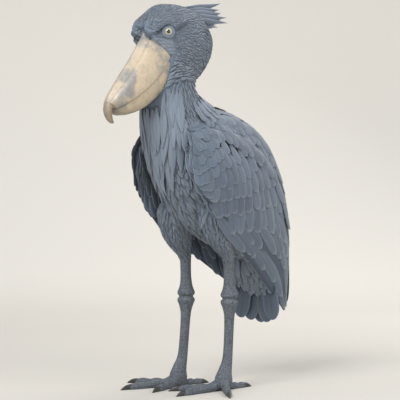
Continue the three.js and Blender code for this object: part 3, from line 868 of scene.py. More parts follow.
# Eyes
def lid_ring(wide, above, below, out, thick):
    """A soft ring of skin round the left eye."""
    angle = np.linspace(0, 2 * math.pi, 56, endpoint=False)
    y = np.cos(angle) * wide
    z = np.sin(angle) * np.where(np.sin(angle) > 0, above, below)
    path = np.stack([EYE["x"] + out - 0.05 * np.abs(y), EYE["drawn_y"] + y, EYE["z"] + z], -1)
    run = unit(np.roll(path, -1, 0) - np.roll(path, 1, 0))
    second = unit(np.cross(run, [1.0, 0, 0]))
    third = np.cross(run, second)
    turn = np.linspace(0, 2 * math.pi, 12, endpoint=False)[None, :, None]
    ring = path[:, None] + thick * (np.cos(turn) * second[:, None] + np.sin(turn) * third[:, None])
    return ring.reshape(-1, 3), ring_quads(*ring.shape[:2], closed=True)


def make_lids(side):
    """Three rings of skin that hug the eye."""
    centre = np.array([EYE["x"], EYE["drawn_y"], EYE["z"]])
    spin = turn_of(math.atan2(LOOK["lids"][1], LOOK["lids"][0]), 2).T
    rings = moved([lid_ring(*row) for row in LIDS], lambda points: (points - centre) @ spin + centre)
    if SIDES[side] < 0:
        rings = [mirrored(ring) for ring in rings]
    piece = mesh_object(f"lids_{side}", *joined(moved(rings, in_head, placed)))
    float_attribute(piece, "bare", np.ones(len(piece.data.vertices)))
    dress(piece, skin_material, "plumage")


def make_eye(side):
    """An eyeball whose rings run from the pupil to the back."""
    around, rows = 48, 36
    angle = np.linspace(0, 2 * math.pi, around, endpoint=False)
    tilt = np.linspace(0.02, math.pi - 0.02, rows)
    radius = EYE["radius"] - EYE_INSET
    ring = np.stack([
        np.repeat(np.cos(tilt)[:, None], around, 1),
        np.sin(tilt)[:, None] * np.cos(angle),
        np.sin(tilt)[:, None] * np.sin(angle)], -1)
    bulge = 1 + CORNEA * np.exp(-(tilt / 0.5) ** 2)
    look = unit(np.array(LOOK["ball"]))
    second = unit(np.cross([0, 0, 1.0], look))
    rings = (ring * radius * bulge[:, None, None]) @ np.stack([look, second, np.cross(look, second)])
    ends = np.stack([look, -look]) * radius * np.array([[1 + CORNEA], [1.0]])
    centre = np.array([EYE["x"], EYE["drawn_y"], EYE["z"]])
    ball = capped_tube(rings + centre, ends + centre)
    if SIDES[side] < 0:
        ball = mirrored(ball)
    piece = mesh_object(f"eye_{side}_ball", *moved([ball], in_head, placed)[0])
    float_attribute(piece, "iris", np.concatenate([np.repeat(tilt / (math.pi / 2), around), [0, 2]]))
    return dress(piece, eye_material, "eye", f"eye_{side}")


# Bill
def bill_vault(station_curve, size_curve, t, u, upper):
    """The bill's surface: t along it and u from its right edge to its left."""
    centre = station_curve.at(t)
    size = size_curve.at(t)
    angle = math.pi * (1 - u)
    s = np.clip(np.sin(angle), 0, 1)
    x = np.cos(angle) * size[..., 0]
    rise = size[..., 1] if upper else size[..., 2]
    if upper:
        share = x / size[..., 0]
        ridge = 0.1 * np.exp(-((share / 0.2) ** 2))
        lift = rise * (s ** 0.72 * 0.9 + ridge * s)
        side_groove = np.exp(-((np.abs(share) - 0.42) / 0.035) ** 2)
        lift -= 2.6 * side_groove * smooth(0.02, 0.12, t) * smooth(1.0, 0.9, t)
    else:
        lift = rise * s ** 0.62
    return np.stack([x, centre[..., 1], centre[..., 2] + (lift if upper else -lift)], -1)


def bill_solid(upper, rows=90, columns=72):
    gap = 0.5 if upper else -0.5
    stations = Curve([(0, -s * BILL["length"], e + gap) for s, w, r, e, j in BILL_STATIONS])
    inset = 0 if upper else 2.5
    sizes = Curve([(w - inset, r - e, j) for s, w, r, e, j in BILL_STATIONS])
    t = np.linspace(0, 1, rows)[:, None]
    u = np.linspace(0, 1, columns)[None, :]
    t2, u2 = np.broadcast_arrays(t, u)
    top = bill_vault(stations, sizes, t2, u2, upper)
    flat = top.copy()
    flat[..., 2] = stations.at(t2)[..., 2] - gap * 0.2
    rings = np.concatenate([top, flat[:, ::-1][:, 1:-1]], 1)
    if not upper:
        rings = rings[:, ::-1]
    ends = np.stack([rings[0].mean(0), rings[-1].mean(0)])
    return capped_tube(rings, ends)


def bill_marks(piece):
    local = from_bill(bird_mm(points_of(piece)))
    share = -local[:, 1] / BILL["length"]
    float_attribute(piece, "along", share)
    float_attribute(piece, "across", local[:, 0] / 55)


def make_bill():
    hook = Loft([(0, y, z, w, d, d) for y, z, w, d in HOOK]).solid(24, 30)
    for half, solids in (("upper", [bill_solid(True), hook]), ("lower", [bill_solid(False)])):
        piece = mesh_object(f"bill_{half}_horn", *joined(moved(solids, in_bill, placed)))
        fused(piece, "bill")
        bill_marks(piece)
        dress(piece, bill_material, "bill", f"bill_{half}")


# Legs and feet
def shank_stations(side):
    return [(SIDES[side] * LEG_X, y + LEG_SHIFT[side], *sizes) for y, *sizes in SHANK]


def tarsus_stations(side):
    sign, shift, foot = SIDES[side], LEG_SHIFT[side], FOOT_SHIFT[side]
    return [(sign * LEG_X, y + mix(shift, foot, k), *sizes) for k, y, *sizes in TARSUS]


def toe_stations(side, name):
    heading, length, radius = TOES[name]
    sign = SIDES[side]
    angle = math.radians(heading + FOOT_TURN[side])
    root_height = TOE_ROOT["hind" if heading > 90 else "front"]
    rows = []
    for share, fat in KNUCKLES:
        r = radius * fat
        height = max(root_height * (1 - share * 2.4), r * 0.82)
        x = sign * LEG_X + sign * math.sin(angle) * share * length
        y = TOE_ROOT["y"] + FOOT_SHIFT[side] - math.cos(angle) * share * length
        rows.append((x, y, height, r, r, r))
    return rows


def make_leg(side):
    solids = [Loft(shank_stations(side)).solid(28, 40), Loft(tarsus_stations(side)).solid(28, 60)]
    for name in TOES:
        solids.append(Loft(toe_stations(side, name), side=(0, 0, 1), square=2.3).solid(20, 40))
    piece = mesh_object(f"leg_{side}", *joined(moved(solids, placed)))
    fused(piece, "leg")
    points = points_of(piece)
    points[:, 2] = np.maximum(points[:, 2], 0)
    move_points(piece, points)
    nodes = [f"shank_{side}", f"tarsus_{side}", *[f"toe_{name}_{side}" for name in TOES]]
    dress(piece, leg_material, "leg", *nodes)


def claw_solid(side, name):
    rows = toe_stations(side, name)
    tip, before = np.array(rows[-1][:3]), np.array(rows[-3][:3])
    run = (tip - before) * np.array([1, 1, 0])
    run /= np.linalg.norm(run)
    base = tip - run * CLAW["overlap"]
    stations = []
    for share in (0, 0.25, 0.5, 0.75, 0.92, 1):
        p = base + run * share * (CLAW["length"] + CLAW["overlap"])
        r = CLAW["radius"] * (1 - share) ** 0.7 + CLAW["tip"]
        stations.append((p[0], p[1], base[2] + 2.5 + 6 * share - 16 * share * share, r, r * 0.8, r * 0.8))
    points, faces = Loft(stations, side=(0, 0, 1)).solid(16, 24)
    points[:, 2] = np.maximum(points[:, 2], 0.1)
    return points, faces


def make_claws(side):
    for name in TOES:
        points, faces = claw_solid(side, name)
        piece = mesh_object(f"claw_{name}_{side}_horn", placed(points), faces)
        dress(piece, claw_material, "claw", f"claw_{name}_{side}")


# Feathers
TUFT_PATCH = 0.003  # size of one small feather in the map
# Each coat's corner and size in the map
MAP = {
    "body": ((0.0, 0.0), (0.62, 0.997)),
    "head": ((0.66, 0.0), (0.32, 0.55)),
    "brow_left": ((0.84, 0.6), (0.15, 0.19)),
    "brow_right": ((0.84, 0.8), (0.15, 0.19)),
    "thigh_left": ((0.64, 0.6), (0.09, 0.39)),
    "thigh_right": ((0.74, 0.6), (0.09, 0.39)),
}


def quad_mesh(name, points, faces):
    mesh = bpy.data.meshes.new(name)
    mesh.vertices.add(len(points))
    mesh.vertices.foreach_set("co", points.ravel())
    mesh.loops.add(faces.size)
    mesh.polygons.add(len(faces))
    mesh.polygons.foreach_set("loop_start", np.arange(len(faces)) * 4)
    mesh.loops.foreach_set("vertex_index", faces.ravel().astype(np.int32))
    mesh.update(calc_edges=True)
    return mesh


class Feathers:
    """Collects thin vanes and makes them one mesh. Each vane has a patch of its own in the OFBake map."""

    def __init__(self, name, rows, columns):
        self.name = name
        self.share = np.linspace(0, 1, rows)
        self.columns = columns
        self.patch = (TUFT_PATCH, TUFT_PATCH)
        self.spare = None
        self.parts = []

    def allot(self, count, columns):
        """Sets aside a separate place in the map for each of count large feathers."""
        rows = math.ceil(count / columns)
        i = np.arange(count)
        self.spare = np.stack([(i % columns) / columns, (i // columns) / rows], -1) + 0.002
        self.patch = (0.9 / columns, 0.9 / rows)

    def add(self, lines, across, normal, width, profile, camber, thickness, tone, place=None):
        """lines, across and normal: (n, rows, 3); width and tone: (n,); place in the map: (n, 2)."""
        n = len(lines)
        if place is None:
            place, self.spare = self.spare[:n], self.spare[n:]
        v = np.linspace(-1, 1, self.columns)
        half = (np.asarray(width)[:, None] / 2 * profile)[..., None]
        sweep = half * v
        arch = -camber * half * v ** 2
        top = (lines[:, :, None, :] + across[:, :, None, :] * sweep[..., None]
               + normal[:, :, None, :] * arch[..., None])
        body = thickness * (1 - np.abs(v) ** 2)[None, None, :, None]
        under = top - normal[:, :, None, :] * body
        self.parts.append((top, under, np.broadcast_to(tone, n), np.asarray(place)))

    def one_vane(self):
        """Faces of one vane: its top, and an underside that meets the top along the rim."""
        rows, columns = len(self.share), self.columns
        number = np.arange(rows * columns).reshape(rows, columns)
        low = number.copy()
        low[1:-1, 1:-1] = rows * columns + np.arange((rows - 2) * (columns - 2)).reshape(rows - 2, columns - 2)
        above, below = (np.stack([g[:-1, :-1], g[:-1, 1:], g[1:, 1:], g[1:, :-1]], -1).reshape(-1, 4)
                        for g in (number, low))
        return np.concatenate([above, below[:, ::-1]])

    def build(self, material, slot, *nodes):
        top, under, tone, place = (np.concatenate(values) for values in zip(*self.parts))
        n = len(top)
        points = np.concatenate([top.reshape(n, -1, 3), under[:, 1:-1, 1:-1].reshape(n, -1, 3)], 1)
        count = points.shape[1]
        faces = (self.one_vane()[None] + (np.arange(n) * count)[:, None, None]).reshape(-1, 4)
        piece = linked(self.name, quad_mesh(self.name, placed(points.reshape(-1, 3)), faces))
        grids = np.meshgrid(self.share, np.linspace(-1, 1, self.columns), indexing="ij")
        along, across = (np.concatenate([g.ravel(), g[1:-1, 1:-1].ravel()]) for g in grids)
        float_attribute(piece, "along", np.tile(along, n))
        float_attribute(piece, "across", np.tile(across, n))
        float_attribute(piece, "tone", np.repeat(tone, count))
        spot = np.stack([(across + 1) / 2, along], -1) * np.array(self.patch)
        uv = (place[:, None, :] + spot[None]).reshape(-1, 2)
        layer = piece.data.uv_layers.new(name="OFBake")
        layer.data.foreach_set("uv", uv[faces.ravel()].astype(np.float32).ravel())
        return dress(piece, material, slot, *nodes)


def facing(lines, normals):
    """Each feather's ways sideways and outward along its shaft."""
    run = unit(np.gradient(lines, axis=1))
    across = unit(np.cross(normals, run))
    return across, np.cross(run, across)


def rolled(across, normals, roll):
    """Both ways turned about the shaft."""
    c, s = np.cos(roll)[:, None, None], np.sin(roll)[:, None, None]
    return across * c + normals * s, normals * c - across * s


# Shares of full width along a feather
def rounded(u, root=0.35, widest=0.6, tip=0.32):
    rise = root + (1 - root) * smooth(0, widest, u)
    fall = np.sqrt(np.clip(1 - np.clip((u - (1 - tip)) / tip, 0, 1) ** 2, 0, 1))
    return np.maximum(rise * fall, 0.02)


def oval(u):
    return np.maximum((0.45 + 0.55 * smooth(0, 0.4, u)) * np.sqrt(np.clip(1 - u ** 3.2, 0, 1)), 0.05)


def fluffy(u):
    return np.maximum((0.5 + 0.5 * smooth(0, 0.5, u)) * np.clip(1 - u ** 2.6, 0, 1) ** 0.75, 0.04)


def lancet(u):
    fall = np.clip(1 - np.clip((u - 0.45) / 0.55, 0, 1) ** 1.7, 0, 1)
    return np.maximum((0.4 + 0.6 * smooth(0, 0.45, u)) * fall, 0.03)


# Coat
TRIES = {"head": 60000, "body": 40000, "thigh": 12000}
COAT_CAMBER = 0.2


def coat_spots(loft, area, rng, tries, spacing_of):
    """Roots of small feathers over a loft, and the place of each in the map."""
    share, angle = rng.random(tries), rng.random(tries) * 2 * math.pi
    local = loft.point(share, angle)
    spacing = spacing_of(local, share, angle)
    keep = thinned(local, spacing)
    corner, size = np.array(MAP[area])
    place = corner + np.stack([angle / (2 * math.pi), share], -1)[keep] * size
    return local[keep], share[keep], angle[keep], spacing[keep], place


def thinned(points, spacing):
    """Drops each point that lies within the spacing of an earlier one. Points with no spacing are left out."""
    alive = spacing > 0
    points = points[alive]
    number, spacing = np.flatnonzero(alive), spacing[alive]
    tree = KDTree(len(points))
    for i, p in enumerate(points):
        tree.insert(p, i)
    tree.balance()
    alive = np.ones(len(points), bool)
    for i in range(len(points)):
        if alive[i]:
            for _, j, _ in tree.find_range(points[i], spacing[i]):
                if j > i:
                    alive[j] = False
    return number[alive]


def nearest(tree, points):
    hits, normals = points.copy(), np.zeros_like(points)
    for i, p in enumerate(points):
        spot, normal, _, _ = tree.find_nearest(Vector(p))
        hits[i] = spot
        normals[i] = normal
    return hits, normals


def close_to(tree, points, reach):
    """True for each point that lies within reach of the surface."""
    return np.linalg.norm(nearest(tree, points)[0] - points, axis=1) < reach


def laid(tree, roots, flow, length, rows):
    """Lines over the skin from each root along its flow. Where the skin turns away, a line goes straight on."""
    spot, normal = nearest(tree, roots)
    lines, normals = [spot], [normal]
    step = (length / (rows - 1))[:, None]
    for _ in range(rows - 1):
        flow = unit(flow - normal * dot(flow, normal))
        ahead = lines[-1] + flow * step
        hit, near = nearest(tree, ahead)
        off = np.linalg.norm(hit - ahead, axis=1, keepdims=True) > 0.45 * step
        lines.append(np.where(off, ahead, hit))
        normal = np.where(off, normal, unit(near + normal))
        normals.append(normal)
    return np.stack(lines, 1), np.stack(normals, 1)


def seen(roots, normals, blockers):
    """False for a root with a wing over it."""
    clear = np.ones(len(roots), bool)
    for i, (p, n) in enumerate(zip(roots, normals)):
        start, way = Vector(p + n * 2), Vector(n)
        clear[i] = all(tree.ray_cast(start, way, 150)[0] is None for tree in blockers)
    return clear


def coat_piece(name, tree, rng, roots, flow, length, width, place, rows=5, columns=3, lift=(-1.0, 3.5),
               wander=0.15, profile=oval, thickness=0.7, hang=5.0):
    """Small feathers that follow the flow over the skin. Those whose tips would hang far off it are left out."""
    _, normal = nearest(tree, roots)
    flow = unit(flow + np.cross(flow, normal) * rng.normal(0, wander, len(roots))[:, None])
    lines, normals = laid(tree, roots, flow, length, rows)
    held = close_to(tree, lines[:, -1], hang)
    lines, normals, roots, place, width = (values[held] for values in (lines, normals, roots, place, width))
    n = len(lines)
    feathers = Feathers(name, rows, columns)
    share = feathers.share
    tips = np.broadcast_to(lift[1], len(held))[held][:, None]
    rise = mix(lift[0], tips, share ** 0.8) + rng.uniform(-0.3, 0.9, n)[:, None] * share
    lines = lines + normals * rise[..., None]
    across, normals = rolled(*facing(lines, normals), rng.normal(0, 0.16, n))
    patchy = np.sin(roots[:, 0] * 0.045 + 1.0) * np.sin(roots[:, 1] * 0.037) * np.sin(roots[:, 2] * 0.041)
    tone = np.clip(0.5 + 0.22 * patchy + rng.normal(0, 0.14, n), 0, 1)
    feathers.add(lines, across, normals, width, profile(share), COAT_CAMBER, thickness, tone, place)
    return feathers.build(body_material, "plumage")


def head_flow(local):
    """The way that feathers lie on the head: back over the crown, and down the nape and cheeks."""
    x, y, z = local.T
    down = 0.55 * smooth(1050, 985, z) + 1.7 * smooth(35, 95, y) * smooth(1110, 1070, z)
    down -= 0.5 * smooth(945, 905, z) * smooth(40, 0, y)
    flow = np.stack([0.12 * np.sign(x) * smooth(1050, 1100, z), np.ones(len(x)), 0.22 - down], -1)
    return unit(flow @ HEAD_TURNED.T)


def head_spacing(local, share, angle):
    """Gaps between the head's feathers, finest round the eye. Bare skin and horn have none."""
    out = np.hypot(local[:, 1] - EYE["drawn_y"], local[:, 2] - EYE["z"])
    size = 3.6 + 2.8 * smooth(20, 95, out) + 1.2 * smooth(40, 100, local[:, 1])
    bare = face_marks(local)[0]
    ahead = bill_border(from_bill(in_head(local)))
    for i in np.flatnonzero(ahead > -3.0):
        _, _, _, distance = horn_tree.find_nearest(Vector(in_head(local[i:i + 1])[0]))
        ahead[i] = -9.0 if distance > 7 and local[i, 2] > EYE["z"] - 10 else 1.0
    return np.where((bare > 0.25) | (ahead > -3.0), 0, size)


def neck_spacing(local, share, angle):
    return np.where(share > 0.66, 5.6 + 4.4 * smooth(0.93, 0.7, share), 0)


def body_spacing(local, share, angle):
    return np.where((share < 0.7) & (share > 0.02), 13.0 + 3.0 * (np.sin(angle) > 0.25), 0)


def thigh_spacing(local, share, angle):
    return np.where(share < 0.97, 9.5 - 2.5 * share, 0)


def make_head_coat(tree, rng):
    """The finest feathers, longer where they stand out along the cheeks' lower edge."""
    lofts = {"head": head_loft(-COAT["head"]), "brow_left": brow_loft(), "brow_right": brow_loft()}
    for name, loft in lofts.items():
        local, _, _, gap, place = coat_spots(loft, name, rng, TRIES["head"], head_spacing)
        if name == "brow_right":
            local = local * np.array([-1, 1, 1])
        close = close_to(tree, in_head(local), 20)
        local, gap, place = local[close], gap[close], place[close]
        low = smooth(965, 905, local[:, 2])
        coat_piece(f"plumage_{name}", tree, rng, in_head(local), head_flow(local), gap * (3.3 + 2.2 * low),
                   gap * 1.15, place, rows=4, lift=(-0.6, 1.7 + 5.0 * low), wander=0.14, thickness=0.4, hang=6.0)


def off_head(points):
    """False under the cheeks and near the bill."""
    clear = np.ones(len(points), bool)
    for tree in (head_tree, horn_tree):
        for i, p in enumerate(points):
            spot, normal, _, distance = tree.find_nearest(Vector(p), 400)
            if spot is not None and ((Vector(p) - spot).dot(normal) < 0 or distance < 6):
                clear[i] = False
    return clear


def body_spots(rng, tree, blockers, spacing_of):
    """Roots on the trunk that neither a wing nor the head covers, with the way down the body from each."""
    loft = trunk_loft(-COAT["body"])
    roots, share, angle, size, place = coat_spots(loft, "body", rng, TRIES["body"], spacing_of)
    hit, normal = nearest(tree, roots)
    keep = (np.linalg.norm(hit - roots, axis=1) < 7) & seen(hit, normal, blockers) & off_head(roots)
    roots, share, angle = roots[keep], share[keep], angle[keep]
    flow = unit(loft.point(np.clip(share - 0.01, 0, 1), angle) - loft.point(np.clip(share + 0.01, 0, 1), angle))
    return roots, share, angle, size[keep], place[keep], flow


def make_body_coat(tree, rng, blockers):
    roots, share, angle, size, place, flow = body_spots(rng, tree, blockers, neck_spacing)
    coat_piece("plumage_neck", tree, rng, roots, flow, size * (3.4 + 1.9 * smooth(0.93, 0.75, share)), size * 1.05,
               place, rows=7, lift=(-1.2, 3.0), wander=0.12, profile=lancet)
    roots, share, angle, size, place, flow = body_spots(rng, tree, blockers, body_spacing)
    fluff = np.where(np.sin(angle) > 0.25, 4.2, 3.6)
    coat_piece("plumage_body", tree, rng, roots, flow, size * fluff, size * 1.4, place, rows=7, columns=5,
               lift=(-1.5, 5.0), wander=0.24, profile=fluffy)


def make_thigh_coat(tree, rng):
    for side in SIDES:
        loft = thigh_loft(side)
        spots = coat_spots(loft, f"thigh_{side}", rng, TRIES["thigh"], thigh_spacing)
        keep = close_to(tree, spots[0], 6)
        roots, share, angle, size, place = (values[keep] for values in spots)
        flow = unit(loft.point(share + 0.01, angle) - loft.point(np.clip(share - 0.01, 0, 1), angle))
        coat_piece(f"plumage_thigh_{side}", tree, rng, roots, flow, size * 3.6, size * 1.15, place,
                   rows=6, lift=(-1.0, 3.6), wander=0.2, hang=14.0)


# Ruff rows: count, spread round the breast, share of the trunk at the root, length, width, lift
RUFF = [
    (9, 0.92, 0.705, 192, 38, (1.0, 9.0)),
    (10, 1.02, 0.73, 180, 36, (3.0, 14.0)),
    (12, 1.12, 0.76, 150, 29, (4.0, 14.5)),
    (17, 1.18, 0.785, 112, 20, (3.5, 11.5)),
    (22, 1.24, 0.805, 84, 13, (2.0, 7.5)),
]
RUFF_HANG = 20  # furthest that the tip of a ruff feather may end from the skin


def make_ruff(tree, rng):
    """Lance-shaped feathers that hang from the foot of the neck and close in over the breast."""
    feathers = Feathers("ruff_feathers", 16, 7)
    feathers.allot(sum(row[0] for row in RUFF), 12)
    u = feathers.share
    for count, spread, root, length, width, lift in RUFF:
        k = np.linspace(-1, 1, count) + rng.normal(0, 0.02, count)
        angle = -math.pi / 2 + k * spread
        share = root + 0.012 * k ** 2 + rng.normal(0, 0.006, count)
        roots = trunk.point(share, angle, -COAT["body"])
        down = trunk.point(share - 0.05, angle) - trunk.point(share, angle)
        inward = np.stack([-k * 0.32, np.zeros(count), np.zeros(count)], -1)
        flow = unit(unit(down) + inward + rng.normal(0, 0.05, (count, 3)))
        clear = off_head(roots)
        roots, flow, k = roots[clear], flow[clear], k[clear]
        size = length * rng.uniform(0.82, 1.18, len(k)) * (1 - 0.25 * k ** 2)
        lines, normals = laid(tree, roots, flow, size, len(u))
        held = close_to(tree, lines[:, -1], RUFF_HANG)
        lines, normals = lines[held], normals[held]
        n = len(lines)
        rise = mix(*lift, u ** 0.7) + rng.uniform(-1, 2.5, n)[:, None] * u
        lines = lines + normals * rise[..., None]
        across, normals = facing(lines, normals)
        lines = lines + across * (rng.normal(0, 8, n)[:, None] * u ** 2)[..., None]
        across, normals = rolled(across, normals, rng.normal(0, 0.14, n))
        tone = rng.uniform(0.35, 0.8, n)
        feathers.add(lines, across, normals, width * rng.uniform(0.85, 1.15, n), lancet(u), 0.3, 1.2, tone)
    feathers.build(body_material, "plumage")


# Mantle rows over the back and the wings' roots: count, spread from the spine, share of the trunk, length, width
MANTLE = [
    (11, 1.15, 0.60, 84, 34),
    (12, 1.25, 0.635, 78, 31),
    (13, 1.35, 0.67, 72, 28),
    (14, 1.45, 0.705, 66, 25),
    (15, 1.50, 0.74, 60, 22),
]


def make_mantle(tree, rng):
    """Broad feathers from the foot of the neck back over the shoulders."""
    feathers = Feathers("mantle_feathers", 12, 7)
    feathers.allot(sum(row[0] for row in MANTLE), 12)
    u = feathers.share
    for number, (count, spread, root, length, width) in enumerate(MANTLE):
        k = np.linspace(-1, 1, count) + rng.normal(0, 0.015, count)
        angle = math.pi / 2 + k * spread
        share = root + rng.normal(0, 0.004, count)
        roots = trunk.point(share, angle, -COAT["body"])
        flow = unit(trunk.point(share - 0.05, angle) - trunk.point(share, angle))
        lines, normals = laid(tree, roots, flow, length * rng.uniform(0.9, 1.1, count), len(u))
        rise = mix(2.0, 9.0, u ** 0.6)[None] + number * 0.5 + rng.uniform(-0.5, 1.0, count)[:, None] * u
        lines = lines + normals * rise[..., None]
        across, normals = facing(lines, normals)
        tone = rng.uniform(0.35, 0.75, count)
        feathers.add(lines, across, normals, width * rng.uniform(0.9, 1.1, count), oval(u), 0.25, 1.1, tone)
    feathers.build(body_material, "plumage")


# Undertail rows: count, half spread in mm, y and z of the roots, length, width
UNDERTAIL = [
    (7, 46, 222, 362, 86, 34),
    (7, 50, 206, 380, 84, 34),
    (6, 54, 190, 398, 80, 34),
    (7, 50, 170, 412, 76, 32),
]
UNDERTAIL_BACK = np.array([0, -1.0, -0.2])  # the way that these feathers turn their outer face


def make_undertail(rng):
    """Soft feathers that hang under the root of the tail."""
    feathers = Feathers("undertail_feathers", 12, 7)
    feathers.allot(sum(row[0] for row in UNDERTAIL), 9)
    u = feathers.share
    for count, spread, y, z, length, width in UNDERTAIL:
        k = np.linspace(-1, 1, count) + rng.normal(0, 0.03, count)
        root = np.stack([k * spread, y - 20 * np.abs(k), z - 34 + 26 * np.abs(k)], -1)
        way = unit(np.stack([k * 0.12, np.full(count, 0.26), np.full(count, -1.0)], -1))
        size = length * rng.uniform(0.9, 1.12, count)
        lines = root[:, None] + way[:, None] * (size[:, None] * u)[..., None]
        lines[..., 1] -= 10 * np.sin(u * math.pi * 0.9)
        across, normals = facing(lines, UNDERTAIL_BACK)
        tone = rng.uniform(0.3, 0.7, count)
        feathers.add(lines, across, normals, np.full(count, width), oval(u), 0.25, 1.0, tone)
    feathers.build(body_material, "plumage")


CREST = {"count": 25, "y": 34, "z": 1106, "deep": 36, "reach": (172, 140), "rise": (-0.03, 0.10), "width": 22}


def make_crest(rng):
    """Stiff feathers that fan back from the nape."""
    feathers = Feathers("crest_feathers", 14, 7)
    n = CREST["count"]
    feathers.allot(n, 7)
    u = feathers.share
    k = np.linspace(0, 1, n)
    side = (((np.arange(n) * 5) % n) / (n - 1) - 0.5)
    way = unit(np.stack([side * 0.3, np.ones(n), mix(*CREST["rise"], k)], -1))
    root = np.stack([side * 26, np.full(n, CREST["y"]), CREST["z"] - CREST["deep"] * (1 - k)], -1)
    reach = mix(*CREST["reach"], k) * rng.uniform(0.86, 1.02, n)
    lines = root[:, None] + way[:, None] * (reach[:, None] * u)[..., None]
    lines[..., 2] += 15 * u ** 4 * rng.uniform(0.2, 1.0, n)[:, None] * k[:, None]
    lines = in_head(lines.reshape(-1, 3)).reshape(lines.shape)
    run = unit(np.gradient(lines, axis=1))
    across = unit(np.stack([side * 1.2, np.zeros(n), np.ones(n)], -1))[:, None] * np.ones((1, len(u), 1))
    across = unit(across - run * dot(across, run))
    width = CREST["width"] * rng.uniform(0.8, 1.15, n)
    tone = rng.uniform(0.3, 0.7, n)
    feathers.add(lines, across, np.cross(run, across), width, lancet(u), 0.25, 1.0, tone)
    feathers.build(body_material, "plumage")


# Wings
rails = [Curve(r) for r in WING_RAILS]


def wing_point(s, t):
    s, t = np.broadcast_arrays(np.asarray(s, float), np.asarray(t, float))
    knots = np.stack([rail.at(s) for rail in rails])
    first, last = 2 * knots[0] - knots[1], 2 * knots[-1] - knots[-2]
    points = np.concatenate([first[None], knots, last[None]])
    where = np.clip(t, 0, 1) * 3
    i = np.minimum(where.astype(int), 2)
    f = (where - i)[..., None]
    return spline(*(np.take_along_axis(points, (i + k)[None, ..., None], 0)[0] for k in range(4)), f)


def wing_tangents(s, t, step=0.01):
    s, t = np.clip(s, 0.02, 0.98), np.clip(t, 0.02, 0.98)
    along = (wing_point(s + step, t) - wing_point(s - step, t)) / (2 * step)
    down = (wing_point(s, t + step) - wing_point(s, t - step)) / (2 * step)
    return along, down, unit(np.cross(down, along))


def wing_depth(s, t):
    """How thick the underlayer is below the wing's outer face."""
    rim = np.minimum(1, (1 - t) * 6) * np.minimum(1, (1 - s) * 8)
    return 3 + (mix(24, 8, np.minimum(1, s * 1.2)) - 3) * np.clip(rim, 0, 1)


def wing_walk(s, t, direction, length, rows):
    """Walks over the wing in a fixed direction, or back along it; past an edge it goes straight on."""
    points, normals, depths = [wing_point(s, t)], [wing_tangents(s, t)[2]], [wing_depth(s, t)]
    pace = length / (rows - 1)
    for _ in range(rows - 1):
        along, down, normal = wing_tangents(s, t)
        flat = -unit(along) if direction is None else unit(direction - normal * dot(direction, normal))
        ss, st, tt = dot(along, along)[:, 0], dot(along, down)[:, 0], dot(down, down)[:, 0]
        fs, ft = dot(flat, along)[:, 0], dot(flat, down)[:, 0]
        det = ss * tt - st * st
        s = s + pace * (fs * tt - ft * st) / det
        t = t + pace * (ft * ss - fs * st) / det
        inside = (s < 0.98) & (t < 0.98) & (s > 0.02) & (t > 0.02)
        onward = points[-1] + flat * pace[:, None]
        points.append(np.where(inside[:, None], wing_point(s, t), onward))
        normals.append(normal)
        depths.append(wing_depth(s, t))
    return np.stack(points, 1), np.stack(normals, 1), np.stack(depths, 1)


FALL = np.array([0, 0.3, -1.0])
LINING_SAG = 7.0  # how much lower the lining's tips hang than the outer rows
MIDLINE = 0.7  # nearest that the underlayer comes to the bird's middle
WING_LINE = 18  # points along each large feather
# Rows of wing feathers by the places of their tips: count, first and last tip as (s, t), lengths, width,
# lift at root and tip, and whether they hang down (FALL) or follow the wing (None)
WING_ROWS = [
    (11, (0.50, 0.99), (0.99, 0.86), (190, 250), 34, (-2.0, -0.6), None),
    (9, (0.60, 0.88), (1.0, 0.56), (210, 250), 38, (-1.2, 0.6), None),
    (6, (0.80, 0.66), (0.99, 0.30), (220, 250), 38, (-0.5, 1.6), None),
    (11, (0.42, 1.0), (0.94, 0.42), (170, 215), 46, (-0.6, 1.8), FALL),
    (14, (0.30, 0.99), (0.87, 0.34), (130, 165), 52, (0.2, 3.2), FALL),
    (15, (0.20, 1.0), (0.78, 0.30), (100, 124), 44, (1.4, 6.0), FALL),
    (14, (0.14, 1.0), (0.66, 0.30), (78, 96), 38, (2.4, 7.2), FALL),
    (14, (0.09, 0.98), (0.55, 0.28), (62, 74), 34, (3.2, 8.0), FALL),
    (13, (0.05, 0.95), (0.45, 0.26), (52, 62), 31, (3.8, 8.6), FALL),
    (12, (0.02, 0.88), (0.35, 0.24), (44, 54), 29, (4.2, 9.0), FALL),
    (10, (0.015, 0.74), (0.25, 0.22), (38, 46), 28, (4.6, 9.2), FALL),
    (8, (0.01, 0.60), (0.15, 0.20), (34, 42), 27, (4.8, 8.4), FALL),
    (6, (0.005, 0.44), (0.07, 0.18), (34, 42), 27, (4.8, 8.4), FALL),
    (9, (0.0, 0.34), (0.0, 1.0), (48, 58), 34, (-1.0, 3.0), FALL),
    (5, (0.74, 0.40), (0.94, 0.12), (170, 205), 36, (2.0, 5.0), FALL),
    (18, (0.04, 0.50), (0.62, 0.42), (60, 96), 42, (1.2, 4.2), FALL),
    (20, (0.02, 0.42), (0.60, 0.34), (58, 90), 42, (1.6, 4.6), FALL),
    (15, (0.10, 0.44), (0.80, 0.36), (70, 120), 46, (2.6, 6.0), None),
    (14, (0.14, 0.50), (0.80, 0.44), (80, 120), 46, (4.2, 8.6), None),
    (13, (0.10, 0.37), (0.74, 0.31), (76, 112), 48, (5.0, 9.4), None),
    (12, (0.08, 0.24), (0.66, 0.19), (72, 104), 48, (6.0, 10.2), None),
    (12, (0.06, 0.12), (0.58, 0.08), (66, 98), 48, (6.0, 10.2), None),
    (11, (0.18, 0.04), (0.56, 0.02), (80, 104), 46, (5.0, 9.4), None),
    (10, (0.60, 0.16), (0.98, 0.05), (120, 150), 50, (4.6, 8.6), None),
    (9, (0.58, 0.06), (0.97, 0.02), (120, 150), 50, (4.0, 8.0), None),
]
